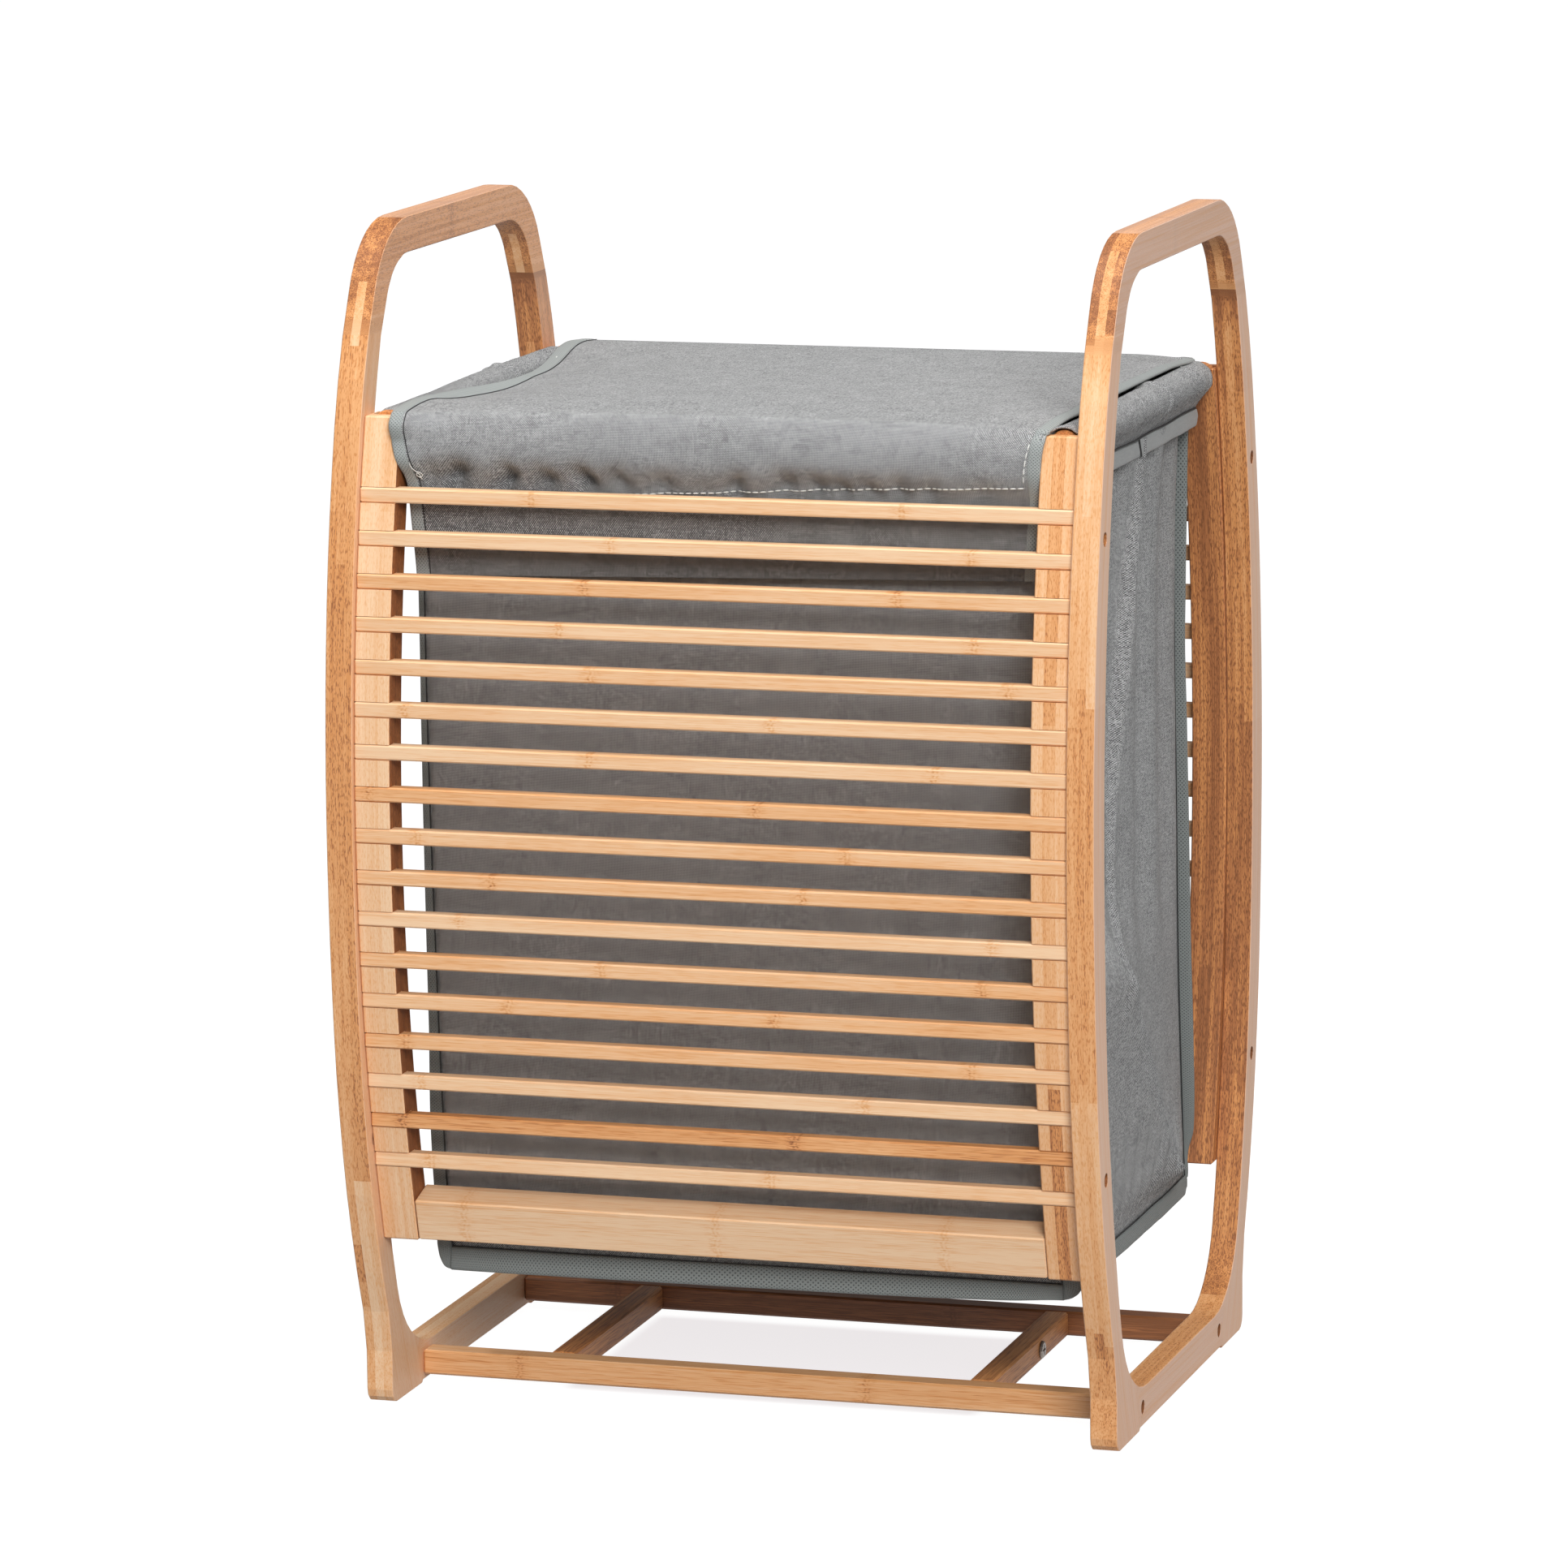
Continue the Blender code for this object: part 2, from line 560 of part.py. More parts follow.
def make_bag():
    sides = (BAG_BOTTOM_SIDE, BAG_BOTTOM_SIDE, BAG_MIDDLE_SIDE, BAG_MIDDLE_SIDE, BAG_TOP_SIDE)
    bottom, middle = SLEEVE_END - BAG_BOTTOM_DRAW, SLEEVE_END + BAG_MIDDLE_SWELL
    faces = (bottom, bottom, middle, middle, SLEEVE_END)
    shape = bmesh.new()
    levels = []
    for share, side, face in zip(BAG_LEVEL_SHARES, sides, faces):
        height = BAG_FLOOR + share * (BAG_TOP - BAG_FLOOR)
        corners = ((-side, -face), (side, -face), (side, face), (-side, face))
        levels.append([shape.verts.new((*corner, height)) for corner in corners])
    for lower, upper in zip(levels, levels[1:]):
        for index in range(len(lower)):
            after = (index + 1) % len(lower)
            shape.faces.new((lower[index], lower[after], upper[after], upper[index]))
    shape.faces.new(list(reversed(levels[0])))
    bag = add_object("bag_body", mesh_from(shape, "bag"), CLOTH_GREY)
    thicken(bag, CLOTH)

    shape = bmesh.new()
    size = (2 * (BAG_BOTTOM_SIDE + CLEARANCE), 2 * (bottom + CLEARANCE), HEM_HEIGHT)
    add_block(shape, size, (0.0, 0.0, BAG_FLOOR + HEM_HEIGHT / 2))
    lids = [face for face in shape.faces if abs(face.normal.z) > 0.5]
    bmesh.ops.delete(shape, geom=lids, context="FACES_ONLY")
    hem = add_object("bag_hem", mesh_from(shape, "hem"), TRIM_GREY)
    thicken(hem, HEM_CLOTH, 1.0)


LID_BOTTOM = ROD_CENTRE + SLEEVE_OUTER + LID_LIFT
LID_BACK = SLEEVE_END + LID_OVERHANG
SKIRT_FACE = panel_face(TOP_SLAT) - SLAT_DEPTH - SKIRT_SLAT_GAP
LID_FRONT = SKIRT_FACE - SKIRT_BEND
SKIRT_WIDTH = 2 * (STILE_INNER - SKIRT_SIDE_GAP)


def make_lid_hinge_strip():
    """The cloth that rises from the bag's back wall to the lid."""
    bottom = BAG_TOP + CLEARANCE
    top = LID_BOTTOM - CLEARANCE
    outline = [(SLEEVE_END, bottom), (LID_BACK, top), (LID_BACK - CLOTH, top), (SLEEVE_END - CLOTH, bottom)]
    upright_plate("lid_hinge_strip", (outline,), SKIRT_WIDTH, 0.0, CLOTH_GREY)


def make_lid():
    hinge = bpy.data.objects.new("lid_hinge", None)
    PARTS.objects.link(hinge)
    hinge.location = (0.0, LID_BACK, LID_BOTTOM + CLOTH / 2)
    length = LID_BACK + LID_FRONT - 2 * CLEARANCE
    shape = bmesh.new()
    width = 2 * (STILE_CENTRE - LID_SIDE_INSET)
    add_block(shape, (width, length, CLOTH), (0.0, -length / 2 - CLEARANCE, 0.0))
    lid = add_object("lid_panel", mesh_from(shape, "lid"), CLOTH_GREY)
    lid.parent = hinge


def skirt_path():
    """Middle line of the skirt from the lid's edge down: y and z from its hinge, and how far it puckers."""
    centre_height = CLOTH + CLEARANCE - SKIRT_BEND
    turns = [math.pi / 2 * step / BEND_STEPS for step in range(BEND_STEPS)]
    path = [(-CLEARANCE - SKIRT_BEND * math.sin(turn), centre_height + SKIRT_BEND * math.cos(turn), 0.0)
            for turn in turns]
    straight = SKIRT_DROP + centre_height
    for share in SKIRT_ROW_SHARES:
        swell = math.sin(math.pi * min(1.0, share / PUCKER_FADE_SHARE))
        path.append((-CLEARANCE - SKIRT_BEND, centre_height - share * straight, swell))
    return path


def pucker(across):
    """How far the cloth is drawn in at a place across the skirt."""
    places = [share * SKIRT_WIDTH / 2 for share in PUCKER_PLACE_SHARES]
    return PUCKER_DEPTH * sum(math.exp(-((across - place) / PUCKER_WIDTH) ** 2) for place in places)


def make_skirt():
    hinge = bpy.data.objects.new("skirt_hinge", None)
    PARTS.objects.link(hinge)
    hinge.location = (0.0, -LID_FRONT, LID_BOTTOM - CLEARANCE)
    path = skirt_path()
    shape = bmesh.new()
    bmesh.ops.create_grid(shape, x_segments=SKIRT_COLUMNS, y_segments=len(path) - 1, size=0.5)
    for corner in shape.verts:
        across = corner.co.x * SKIRT_WIDTH
        row = round((0.5 - corner.co.y) * (len(path) - 1))
        depth, height, swell = path[row]
        corner.co = (across, depth + swell * pucker(across), height)
    skirt = add_object("lid_skirt", mesh_from(shape, "skirt"), CLOTH_GREY)
    thicken(skirt, CLOTH)
    skirt.parent = hinge


def main():
    make_side_frame(-1, "side_frame_left")
    make_side_frame(1, "side_frame_right")
    make_panel(-1, "front")
    make_panel(1, "back")
    make_base()
    make_brace_screws()
    make_hangers()
    make_bag()
    make_lid_hinge_strip()
    make_lid()
    make_skirt()


main()
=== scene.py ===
# %% [markdown]
# # A bamboo laundry hamper with a hanging cloth bag
# The joined bamboo frame comes ready as solids from the CAD. This lesson gives the bamboo its grain and sews
# the cloth: the lid with its flap, the bag with its bound seams, and the casings that hang on the two rods.

# %% Load the frame
import math

import bpy
from mathutils import Matrix, Vector, noise


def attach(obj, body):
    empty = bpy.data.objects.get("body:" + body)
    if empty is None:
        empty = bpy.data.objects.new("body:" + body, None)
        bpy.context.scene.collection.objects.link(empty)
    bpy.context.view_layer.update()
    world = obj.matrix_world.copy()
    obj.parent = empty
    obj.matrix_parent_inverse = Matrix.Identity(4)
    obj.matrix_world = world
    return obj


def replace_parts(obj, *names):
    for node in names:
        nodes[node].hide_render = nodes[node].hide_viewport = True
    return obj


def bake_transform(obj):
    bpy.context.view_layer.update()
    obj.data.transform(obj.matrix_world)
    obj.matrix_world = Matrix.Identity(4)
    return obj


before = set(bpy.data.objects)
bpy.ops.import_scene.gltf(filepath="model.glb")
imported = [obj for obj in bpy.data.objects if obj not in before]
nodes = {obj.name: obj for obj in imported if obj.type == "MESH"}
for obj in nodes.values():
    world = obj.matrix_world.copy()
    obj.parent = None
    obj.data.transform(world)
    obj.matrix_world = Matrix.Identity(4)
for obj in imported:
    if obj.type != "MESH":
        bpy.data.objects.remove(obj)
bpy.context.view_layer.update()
bpy.ops.object.select_all(action="DESELECT")

# %% [markdown]
# ## The camera
# The picture was taken with a long lens, a little to the right of the hamper and above it. A long lens keeps
# the slats nearly parallel. The camera is placed by a matrix: stand at the eye, turn, tip down and roll.

# %% Place the camera
EYE = Vector((1.20377, -3.98018, 1.07420))
TURN, TIP, ROLL = 0.29676, -0.17696, -0.00992
LENS = 175.454

camera_data = bpy.data.cameras.new("studio_camera")
camera = bpy.data.objects.new("studio_camera", camera_data)
bpy.context.scene.collection.objects.link(camera)
camera_data.sensor_width = 36
camera_data.lens = LENS
camera_data.clip_start, camera_data.clip_end = 0.1, 60
tipped = Matrix.Rotation(math.pi / 2 + TIP, 4, "X")
turned = Matrix.Rotation(TURN, 4, "Z") @ tipped @ Matrix.Rotation(ROLL, 4, "Z")
camera.matrix_world = Matrix.Translation(EYE) @ turned
bpy.context.scene.camera = camera
print("camera at", tuple(EYE), "lens", LENS)

# %% [markdown]
# ## Shader maths as plain expressions
# A shader is a web of nodes, and maths in it soon grows hard to read. A small class wraps a socket, so that
# `ply * 3 + grain` adds the Math nodes itself. A second class holds one material and adds every other node.


# %% Wrap a socket
class Value:
    """One number of a shader, which Python's operators work on."""

    def __init__(self, finish, socket):
        self.finish, self.socket = finish, socket

    def maths(self, operation, *others):
        return self.finish.node("ShaderNodeMath", {"operation": operation}, dict(enumerate((self, *others))))

    def __add__(self, other):
        return self.maths("ADD", other)

    def __mul__(self, other):
        return self.maths("MULTIPLY", other)

    def __sub__(self, other):
        return self.maths("SUBTRACT", other)

    def __rsub__(self, other):
        return self.finish.node("ShaderNodeMath", {"operation": "SUBTRACT"}, {0: other, 1: self})

    def __truediv__(self, other):
        return self.maths("DIVIDE", other)

    def __pow__(self, other):
        return self.maths("POWER", other)

    def __gt__(self, other):
        return self.maths("GREATER_THAN", other)

    def __lt__(self, other):
        return self.maths("LESS_THAN", other)

    __radd__, __rmul__ = __add__, __mul__

    def __abs__(self):
        return self.maths("ABSOLUTE")

    def __floor__(self):
        return self.maths("FLOOR")


# %% Hold one finish
def paint(red, green, blue):
    """The linear colour of three numbers from 0 to 255, as a colour picker shows them."""
    parts = (c / 255 for c in (red, green, blue))
    return (*(c / 12.92 if c <= 0.04045 else ((c + 0.055) / 1.055) ** 2.4 for c in parts), 1)


class Finish:
    """One material, built from expressions."""

    def __init__(self, name):
        self.material = bpy.data.materials.new(name)
        self.material.use_nodes = True
        self.tree = self.material.node_tree
        self.tree.nodes.clear()

    def node(self, kind, settings=None, sockets=None, out=0):
        made = self.tree.nodes.new(kind)
        for key, setting in (settings or {}).items():
            if key == "stops":
                while len(made.color_ramp.elements) < len(setting):
                    made.color_ramp.elements.new(1)
                for stop, (place, colour) in zip(made.color_ramp.elements, setting):
                    stop.position, stop.color = place, colour
            elif key == "steps":
                made.color_ramp.interpolation = setting
            else:
                setattr(made, key, setting)
        for key, given in (sockets or {}).items():
            if isinstance(given, Value):
                self.tree.links.new(given.socket, made.inputs[key])
            else:
                made.inputs[key].default_value = given
        return Value(self, made.outputs[out]) if len(made.outputs) else None

    def place(self):
        """The point's X, Y and Z on the object, in metres."""
        where = self.node("ShaderNodeTexCoord", out="Object")
        split = self.node("ShaderNodeSeparateXYZ", None, {0: where}).socket.node
        return [Value(self, split.outputs[i]) for i in range(3)]

    def cloth_place(self):
        """The point's place along the cloth's width and length, in metres."""
        where = self.node("ShaderNodeTexCoord", out="UV")
        split = self.node("ShaderNodeSeparateXYZ", None, {0: where}).socket.node
        return [Value(self, split.outputs[i]) for i in range(2)]

    def point(self, x=0.0, y=0.0, z=0.0):
        return self.node("ShaderNodeCombineXYZ", None, {0: x, 1: y, 2: z})

    def clouds(self, point, detail=2.0, roughness=0.5):
        sockets = {"Vector": point, "Scale": 1.0, "Detail": detail, "Roughness": roughness}
        return self.node("ShaderNodeTexNoise", {"noise_dimensions": "3D"}, sockets)

    def chance(self, *numbers):
        """One unchanging random number for each set of whole numbers."""
        sockets = {"Vector": self.point(*numbers)}
        return self.node("ShaderNodeTexWhiteNoise", {"noise_dimensions": "3D"}, sockets)

    def ease(self, number, low, high):
        """0 below low, 1 above high, and a smooth step between."""
        sockets = {"Value": number, "From Min": low, "From Max": high}
        return self.node("ShaderNodeMapRange", {"interpolation_type": "SMOOTHSTEP"}, sockets)

    def ramp(self, number, stops, steps="LINEAR"):
        return self.node("ShaderNodeValToRGB", {"steps": steps, "stops": stops}, {0: number})

    def mix(self, share, first, second):
        return self.node("ShaderNodeMix", {"data_type": "RGBA"}, {0: share, 6: first, 7: second}, out=2)

    def surface(self, colour, rough, height, depth, **fixed):
        """Joins the colour, roughness and bump in one surface. What is in fixed is the same all over."""
        bump = self.node("ShaderNodeBump", None, {"Strength": 1.0, "Distance": depth, "Height": height})
        sockets = {"Base Color": colour, "Roughness": rough, "Normal": bump}
        shader = self.node("ShaderNodeBsdfPrincipled", None, {**sockets, **fixed})
        self.node("ShaderNodeOutputMaterial", None, {"Surface": shader})
        print("finish", self.material.name, "has", len(self.tree.nodes), "nodes")
        return self.material


# %% [markdown]
# ## Bamboo
# Bamboo boards are strips glued side by side. Each strip has its own tone, is a hand or two long before the
# next one joins it, and shows fine lines along the grain with short dark dashes, which are the cut vessels of
# the plant. Every board here reads the same recipe, told only which way its grain runs and how it is cut.

# %% Tones of bamboo
# the second colour is the rosy tint of the painted sheen on the rings' faces
TAN, ROSY_SHEEN = paint(232, 173, 118), paint(232, 194, 171)
TONES = [  # from pale through tan, amber and brown to the darkest vessel
    (0.0, paint(245, 207, 167)),
    (0.5, TAN),
    (0.8, paint(214, 145, 84)),
    (1.0, paint(172, 108, 63)),
    (1.25, paint(134, 82, 46)),
]
DARKEST = TONES[-1][0]
HAMPER_HEIGHT = 0.65
BOW_RADIUS, BOW_BACK, BOW_HEIGHT = 0.86392, 0.67757, 0.33338  # the arc that the panels and rings are bowed to
FIBRES, BANDS, STREAKS, PORES = 1500, 430, 110, 1700  # how many fit in a metre across the grain


def grey(level):
    return (level, level, level, 1)


def strip_tone(finish, height, steps):
    """The tone of one strip, which changes at each joint on its way up. Steps are (height, tone)."""
    stops = [(z / HAMPER_HEIGHT, grey(tone)) for z, tone in steps]
    return finish.ramp(height / HAMPER_HEIGHT, stops, "CONSTANT")


def bow_face(z):
    """How far from the middle the bowed outer face of the panels and rings lies at a height."""
    up = z - BOW_HEIGHT
    return (BOW_RADIUS**2 - up * up) ** 0.5 - BOW_BACK


print("bow at mid height:", round(bow_face(BOW_HEIGHT), 4), "at the top:", round(bow_face(HAMPER_HEIGHT), 4))


# %% Grain and knots
def bamboo_surface(finish, along, across, through, tone, dashes, mark=0.0, painted_sheen=None, often=360):
    """Puts fibres, vessels and knot marks on a tone, all of them along the grain."""

    def grain(lengths, widths, detail, roughness=0.5):
        place = finish.point(along * lengths, across * widths, through * widths)
        return finish.clouds(place, detail, roughness)

    lines, bands, broad = grain(14, FIBRES, 3, 0.65), grain(5, BANDS, 2), grain(3, STREAKS, 2)
    vessels = finish.ease(grain(often, PORES, 1), 0.49, 0.66) * (dashes * (tone * 0.5 + 0.7))
    number = tone + (broad - 0.5) * 0.4 + (bands - 0.5) * 0.55 + (lines - 0.5) * 0.6 + vessels + mark * 0.8
    shown = finish.ramp(number / DARKEST, [(place / DARKEST, colour) for place, colour in TONES])
    # painted sheen: the faces it marks are mixed towards a rosy tint
    if painted_sheen:
        fibres = (lines - 0.5) * 1.6 + (bands - 0.5) * 1.4 + 0.25
        shown = finish.mix(painted_sheen * 0.85, shown, finish.mix(fibres, ROSY_SHEEN, TAN))
    height = 0.5 * (1 - lines) - vessels
    return finish.surface(shown, 0.44 + lines * 0.2, height, 0.00010, **{"Specular IOR Level": 0.4})


def knot(finish, off, aside):
    """The mark of a knot: two broken wavy lines across the grain, with short dashes on both sides."""
    away = off + (finish.clouds(finish.point(aside * 280, off * 15, 3), 2) - 0.5) * 0.006
    broken = finish.ease(finish.clouds(finish.point(aside * 800, off * 100, 5), 1), 0.38, 0.58)
    first = 1 - finish.ease(abs(away), 0.0002, 0.0010)
    second = 1 - finish.ease(abs(away - 0.0023), 0.0002, 0.0008)
    dashes = finish.ease(finish.clouds(finish.point(off * 240, aside * 1500, 8), 2), 0.5, 0.62)
    near = 1 - finish.ease(abs(away), 0.001, 0.0085)
    return (first * 0.35 + second * 0.25) * broken + near * (dashes * 0.38 + 0.05)


# %% [markdown]
# ## The side frames
# Each ring is three plies glued flat and sawn to its shape. A ply is made of boards of different tones, so
# its tone changes at its own joints, which a ramp with hard steps gives. The grain runs up the limbs and
# along the handle and the base bar. The outer faces, the inner faces and the top are painted rosier, as
# painted sheen. The screw holes are painted darker inside, the back limb darker and the handle darker
# towards its top, all as painted shade.

# %% Bamboo of the side frames
LEFT_PLIES = [  # the outer, middle and inner ply of the left ring's front limb, as (height, tone)
    [(0, 0.55), (0.055, 0.75), (0.07, 0.95), (0.092, 0.7), (0.2, 0.6), (0.3, 0.72), (0.5, 0.62), (0.6, 0.5)],
    [(0.0, 0.2), (0.13, 0.72), (0.34, 0.75), (0.47, 0.6), (0.5855, 0.12), (0.6185, 0.5)],
    [(0.0, 0.4), (0.13, 0.8), (0.34, 0.75), (0.50, 0.65), (0.60, 0.55)],
]
RIGHT_PLIES = [  # the inner, middle and outer ply of the right ring's front limb
    [(0.0, 0.65), (0.07, 0.5), (0.2, 0.7), (0.40, 0.6), (0.47, 0.5), (0.545, 0.45), (0.596, 0.62)],
    [
        (0, 0.7), (0.053, 0.95), (0.068, 0.55), (0.21, 0.7),
        (0.42, 0.55), (0.51, 0.4), (0.6015, 0.22), (0.64, 0.42),
    ],
    [(0.0, 0.75), (0.06, 0.5), (0.2, 0.7), (0.41, 0.35), (0.50, 0.45), (0.600, 0.7), (0.612, 0.5)],
]
RING_IN, RING_OUT, PLY, SKIN = 0.198, 0.213, 0.005, 0.0003
SCREW_HOLES = [(0.16384, 0.4973), (0.16484, 0.1553), (0.087, 0.012)]  # (depth, height), front and back alike
HOLE_RADIUS = 0.0041


def ring_bamboo():
    finish = Finish("ring_bamboo")
    x, y, z = finish.place()
    ply = (abs(x) - RING_IN) / PLY
    inner_ply, outer_ply = ply < 1, ply > 2
    depth = bow_face(z) - abs(y)
    bar = finish.ease(z, 0.592, 0.6) + (1 - finish.ease(z, 0.05, 0.058)) * finish.ease(depth, 0.026, 0.032)
    back = (y > 0) * (1 - (bar > 0.5))
    height = z + back * 0.065
    tone = 0
    for left, plies in ((1, LEFT_PLIES), (0, RIGHT_PLIES)):
        outer, middle, inner = (strip_tone(finish, height, own) for own in (plies if left else plies[::-1]))
        own = middle * (1 - inner_ply - outer_ply) + inner * inner_ply + outer * outer_ply
        tone = tone + own * ((x < 0) if left else (x > 0))
    along = z * (1 - bar) + y * bar
    across = depth * (1 - bar) + z * bar
    outside = abs(x) > RING_OUT - SKIN
    inside = abs(x) < RING_IN + SKIN
    mark = knot(finish, y + 0.012, z) * (abs(z - 0.64) < 0.02)
    # painted shade: inside each screw hole the wood is made darker
    for hole_y, hole_z in SCREW_HOLES:
        off_y, off_z = abs(y) - hole_y, z - hole_z
        mark = mark + ((off_y * off_y + off_z * off_z) < HOLE_RADIUS**2) * 0.9
    # painted shade: the back limb is made darker and the rest a little lighter
    behind = back * (1 - outside)
    tone = tone * (1 - inside) + inside * 0.35
    # painted shade: the ease on z darkens the handle towards its top
    tone = tone * (1 - behind * 0.5) + behind * 0.6 - (1 - behind) * 0.1 + finish.ease(z, 0.565, 0.625) * 0.5
    # painted sheen on the outer faces, the inner faces and the top face
    painted_sheen = outside + inside * 0.45 + (z > HAMPER_HEIGHT - 0.0005) * 0.6
    return bamboo_surface(finish, along, across, x, tone, 0.27, mark, painted_sheen)


ring_finish = ring_bamboo()

# %% [markdown]
# ## The stiles
# A stile is three strips side by side, which its front face shows: a core of its own tone between two paler
# rims, with a thin dark glue line at each side of the core. Its narrow face towards the bag is painted
# browner and the back stiles are painted darker, as painted shade.


# %% Bamboo of the stiles
STILE_STRIPS, STRIP = 0.1777, 0.00667  # where the innermost strip starts, and how wide each is


def stile_bamboo():
    finish = Finish("stile_bamboo")
    x, y, z = finish.place()
    strip = (abs(x) - STILE_STRIPS) / STRIP
    middle = (strip > 1) * (strip < 2)
    right, behind = x > 0, y > 0
    core = strip_tone(finish, z, [(0.0, 0.8), (0.205, 0.45), (0.40, 0.64), (0.56, 0.66)])
    left_core = strip_tone(finish, z, [(0.0, 0.12), (0.18, 0.2), (0.44, 0.12)])
    rim = strip_tone(finish, z + right * 0.07, [(0.0, 0.18), (0.25, 0.1), (0.5, 0.2)]) + right * 0.18
    tone = middle * (core * right + left_core * (1 - right)) + (1 - middle) * rim
    edge = strip - 1
    glue = (1 - finish.ease(abs(edge), 0.0, 0.05)) * 0.12 + (1 - finish.ease(abs(edge - 1), 0.0, 0.05)) * 0.12
    inner = abs(x) < STILE_STRIPS + 0.00015
    # painted shade: the back stiles and the narrow face towards the bag are made darker
    tone = tone * (1 - behind * 0.65) + behind * 0.8 + inner * 0.95 + glue
    return bamboo_surface(finish, z, bow_face(z) - abs(y), x, tone, 0.27)


stile_finish = stile_bamboo()

# %% [markdown]
# ## The slats
# Each slat is one thin strip with a tone of its own and two knots. All slats share one material: the height
# says which slat a point is on, and ramps with one step for each slat look up its tone and its knots.

# %% Bamboo of the slats
SLAT_COUNT, SLAT_PITCH, SLATS_TOP = 17, 0.0228, 0.5201
SLAT_TONES = [0.1, 0.12, 0.3, 0.18, 0.24, 0.14, 0.14, 0.36, 0.26, 0.3, 0.1, 0.34, 0.36, 0.3, 0.14, 0.62, 0.1]
LEFT_KNOTS = [
    -0.102, -0.056, -0.070, -0.084, -0.065, -0.17, -0.066, -0.19, -0.163,
    -0.122, -0.140, -0.061, -0.115, -0.175, -0.168, -0.18, -0.166,
]
RIGHT_KNOTS = [
    0.103, 0.142, 0.103, 0.145, 0.165, 0.035, 0.125, 0.027, 0.077,
    0.052, 0.156, 0.15, 0.035, 0.142, 0.082, 0.042, 0.027,
]
KNOT_SHIFT = 0.2  # keeps a knot's place above zero in a ramp


def slat_bamboo():
    finish = Finish("slat_bamboo")
    x, y, z = finish.place()
    number = math.floor((SLATS_TOP - z) / SLAT_PITCH)
    at = (number + 0.5) / SLAT_COUNT

    def of_slat(numbers):
        return finish.ramp(at, [(i / SLAT_COUNT, grey(n)) for i, n in enumerate(numbers)], "CONSTANT")

    back = y > 0
    left = of_slat([k + KNOT_SHIFT for k in LEFT_KNOTS]) - KNOT_SHIFT + back * 0.09
    right = of_slat([k + KNOT_SHIFT for k in RIGHT_KNOTS]) - KNOT_SHIFT - back * 0.05
    mark = knot(finish, x - left, z) + knot(finish, x - right, z)
    tone = of_slat(SLAT_TONES) + (finish.clouds(finish.point(x * 9, number * 3, 1), 1) - 0.5) * 0.5
    return bamboo_surface(finish, x, z, y, tone, 0.20, mark, often=80)


slat_finish = slat_bamboo()

# %% [markdown]
# ## Rails, braces and rods
# The rails are wide boards with their grain along X and a few knots. The braces and the rods lie front to
# back, so their grain runs along Y. The back rails and the braces are painted darker, as painted shade under
# the bag, and the rods are browner.


# %% Bamboo of the rails, braces and rods
def rail_bamboo(name, tone, knots, dashes):
    finish = Finish(name)
    x, y, z = finish.place()
    mark = 0.0
    for place in knots:
        mark = knot(finish, x - place, z + y) * 0.8 + mark
    # painted shade: the rails at the back are made darker
    number = tone + (y > 0) * 0.7 + (finish.clouds(finish.point(x * 6, z * 90, y * 90), 2) - 0.5) * 0.4
    return bamboo_surface(finish, x, z, y, number, dashes, mark, often=60)


def brace_bamboo():
    finish = Finish("brace_bamboo")
    x, y, z = finish.place()
    # painted shade: the braces' dark tone stands for the shade under the bag
    tone = 0.85 + (finish.clouds(finish.point(x * 60, z * 60, y * 6), 2) - 0.5) * 0.4
    return bamboo_surface(finish, y, z, x, tone, 0.15, often=80)


def rod_bamboo():
    finish = Finish("rod_bamboo")
    x, y, z = finish.place()
    return bamboo_surface(finish, y, z, x, finish.chance(x > 0, 9, 1) * 0.1 + 0.8, 0.15)


rail_finish = rail_bamboo("rail_bamboo", 0.05, [-0.0069, 0.121, -0.15], 0.3)
base_finish = rail_bamboo("base_bamboo", 0.45, [0.058, -0.142], 0.25)
brace_finish, rod_finish = brace_bamboo(), rod_bamboo()

# %% [markdown]
# ## Cloth
# The cloth is a plain weave of grey heather yarn. Each yarn is thicker and lighter in places, so threads show
# as short streaks both ways. Two sine waves give the crossings, on the cloth's own width and length, so that
# the weave follows the cloth. The part of the lid that is tucked in behind the first slat is painted a little
# darker, as painted shade.

# %% Woven cloth
YARN = 0.00064
CLOTH_LIGHT, CLOTH_DARK = paint(222, 223, 223), paint(86, 86, 87)
TUCK_SHADE_FROM, TUCK_SHADE_TO = 0.510, 0.532  # the heights over which the painted shade on the tucked flap ends


def woven(name, painted_shade=0.0):
    finish = Finish(name)
    u, v = finish.cloth_place()
    weave = (u * (math.pi / YARN)).maths("SINE") * (v * (math.pi / YARN)).maths("SINE")
    crossing = finish.chance(math.floor(u / YARN), math.floor(v / YARN), 3)
    down = finish.clouds(finish.point(u * 1300, v * 60, 1), 3, 0.6)
    across = finish.clouds(finish.point(u * 60, v * 1300, 5), 3, 0.6)
    patch = finish.clouds(finish.point(u * 45, v * 45, 9), 3)
    # abs(weave) paints the gaps between yarns darker, as painted shade; weave itself is the plain weave's
    # pattern
    tone = down * 0.24 + across * 0.28 + crossing * 0.24 + patch * 0.10 + abs(weave) * 0.10 + weave * 0.24
    # painted shade: below these heights the tucked flap's cloth is made darker
    if painted_shade:
        height = finish.place()[2]
        tone = tone - (1 - finish.ease(height, TUCK_SHADE_FROM, TUCK_SHADE_TO)) * painted_shade
    colour = finish.ramp(tone, [(0.28, CLOTH_DARK), (0.74, CLOTH_LIGHT)])
    relief = abs(weave) + down * 0.4 + across * 0.4
    soft = {"Sheen Weight": 0.15, "Sheen Roughness": 0.5, "Specular IOR Level": 0.15}
    return finish.surface(colour, 0.95 - tone * 0.1, relief, 0.00025, **soft)


cloth_finish = woven("grey_heather_cloth")
lid_finish = woven("grey_heather_cloth_lid_painted_shade", painted_shade=0.12)

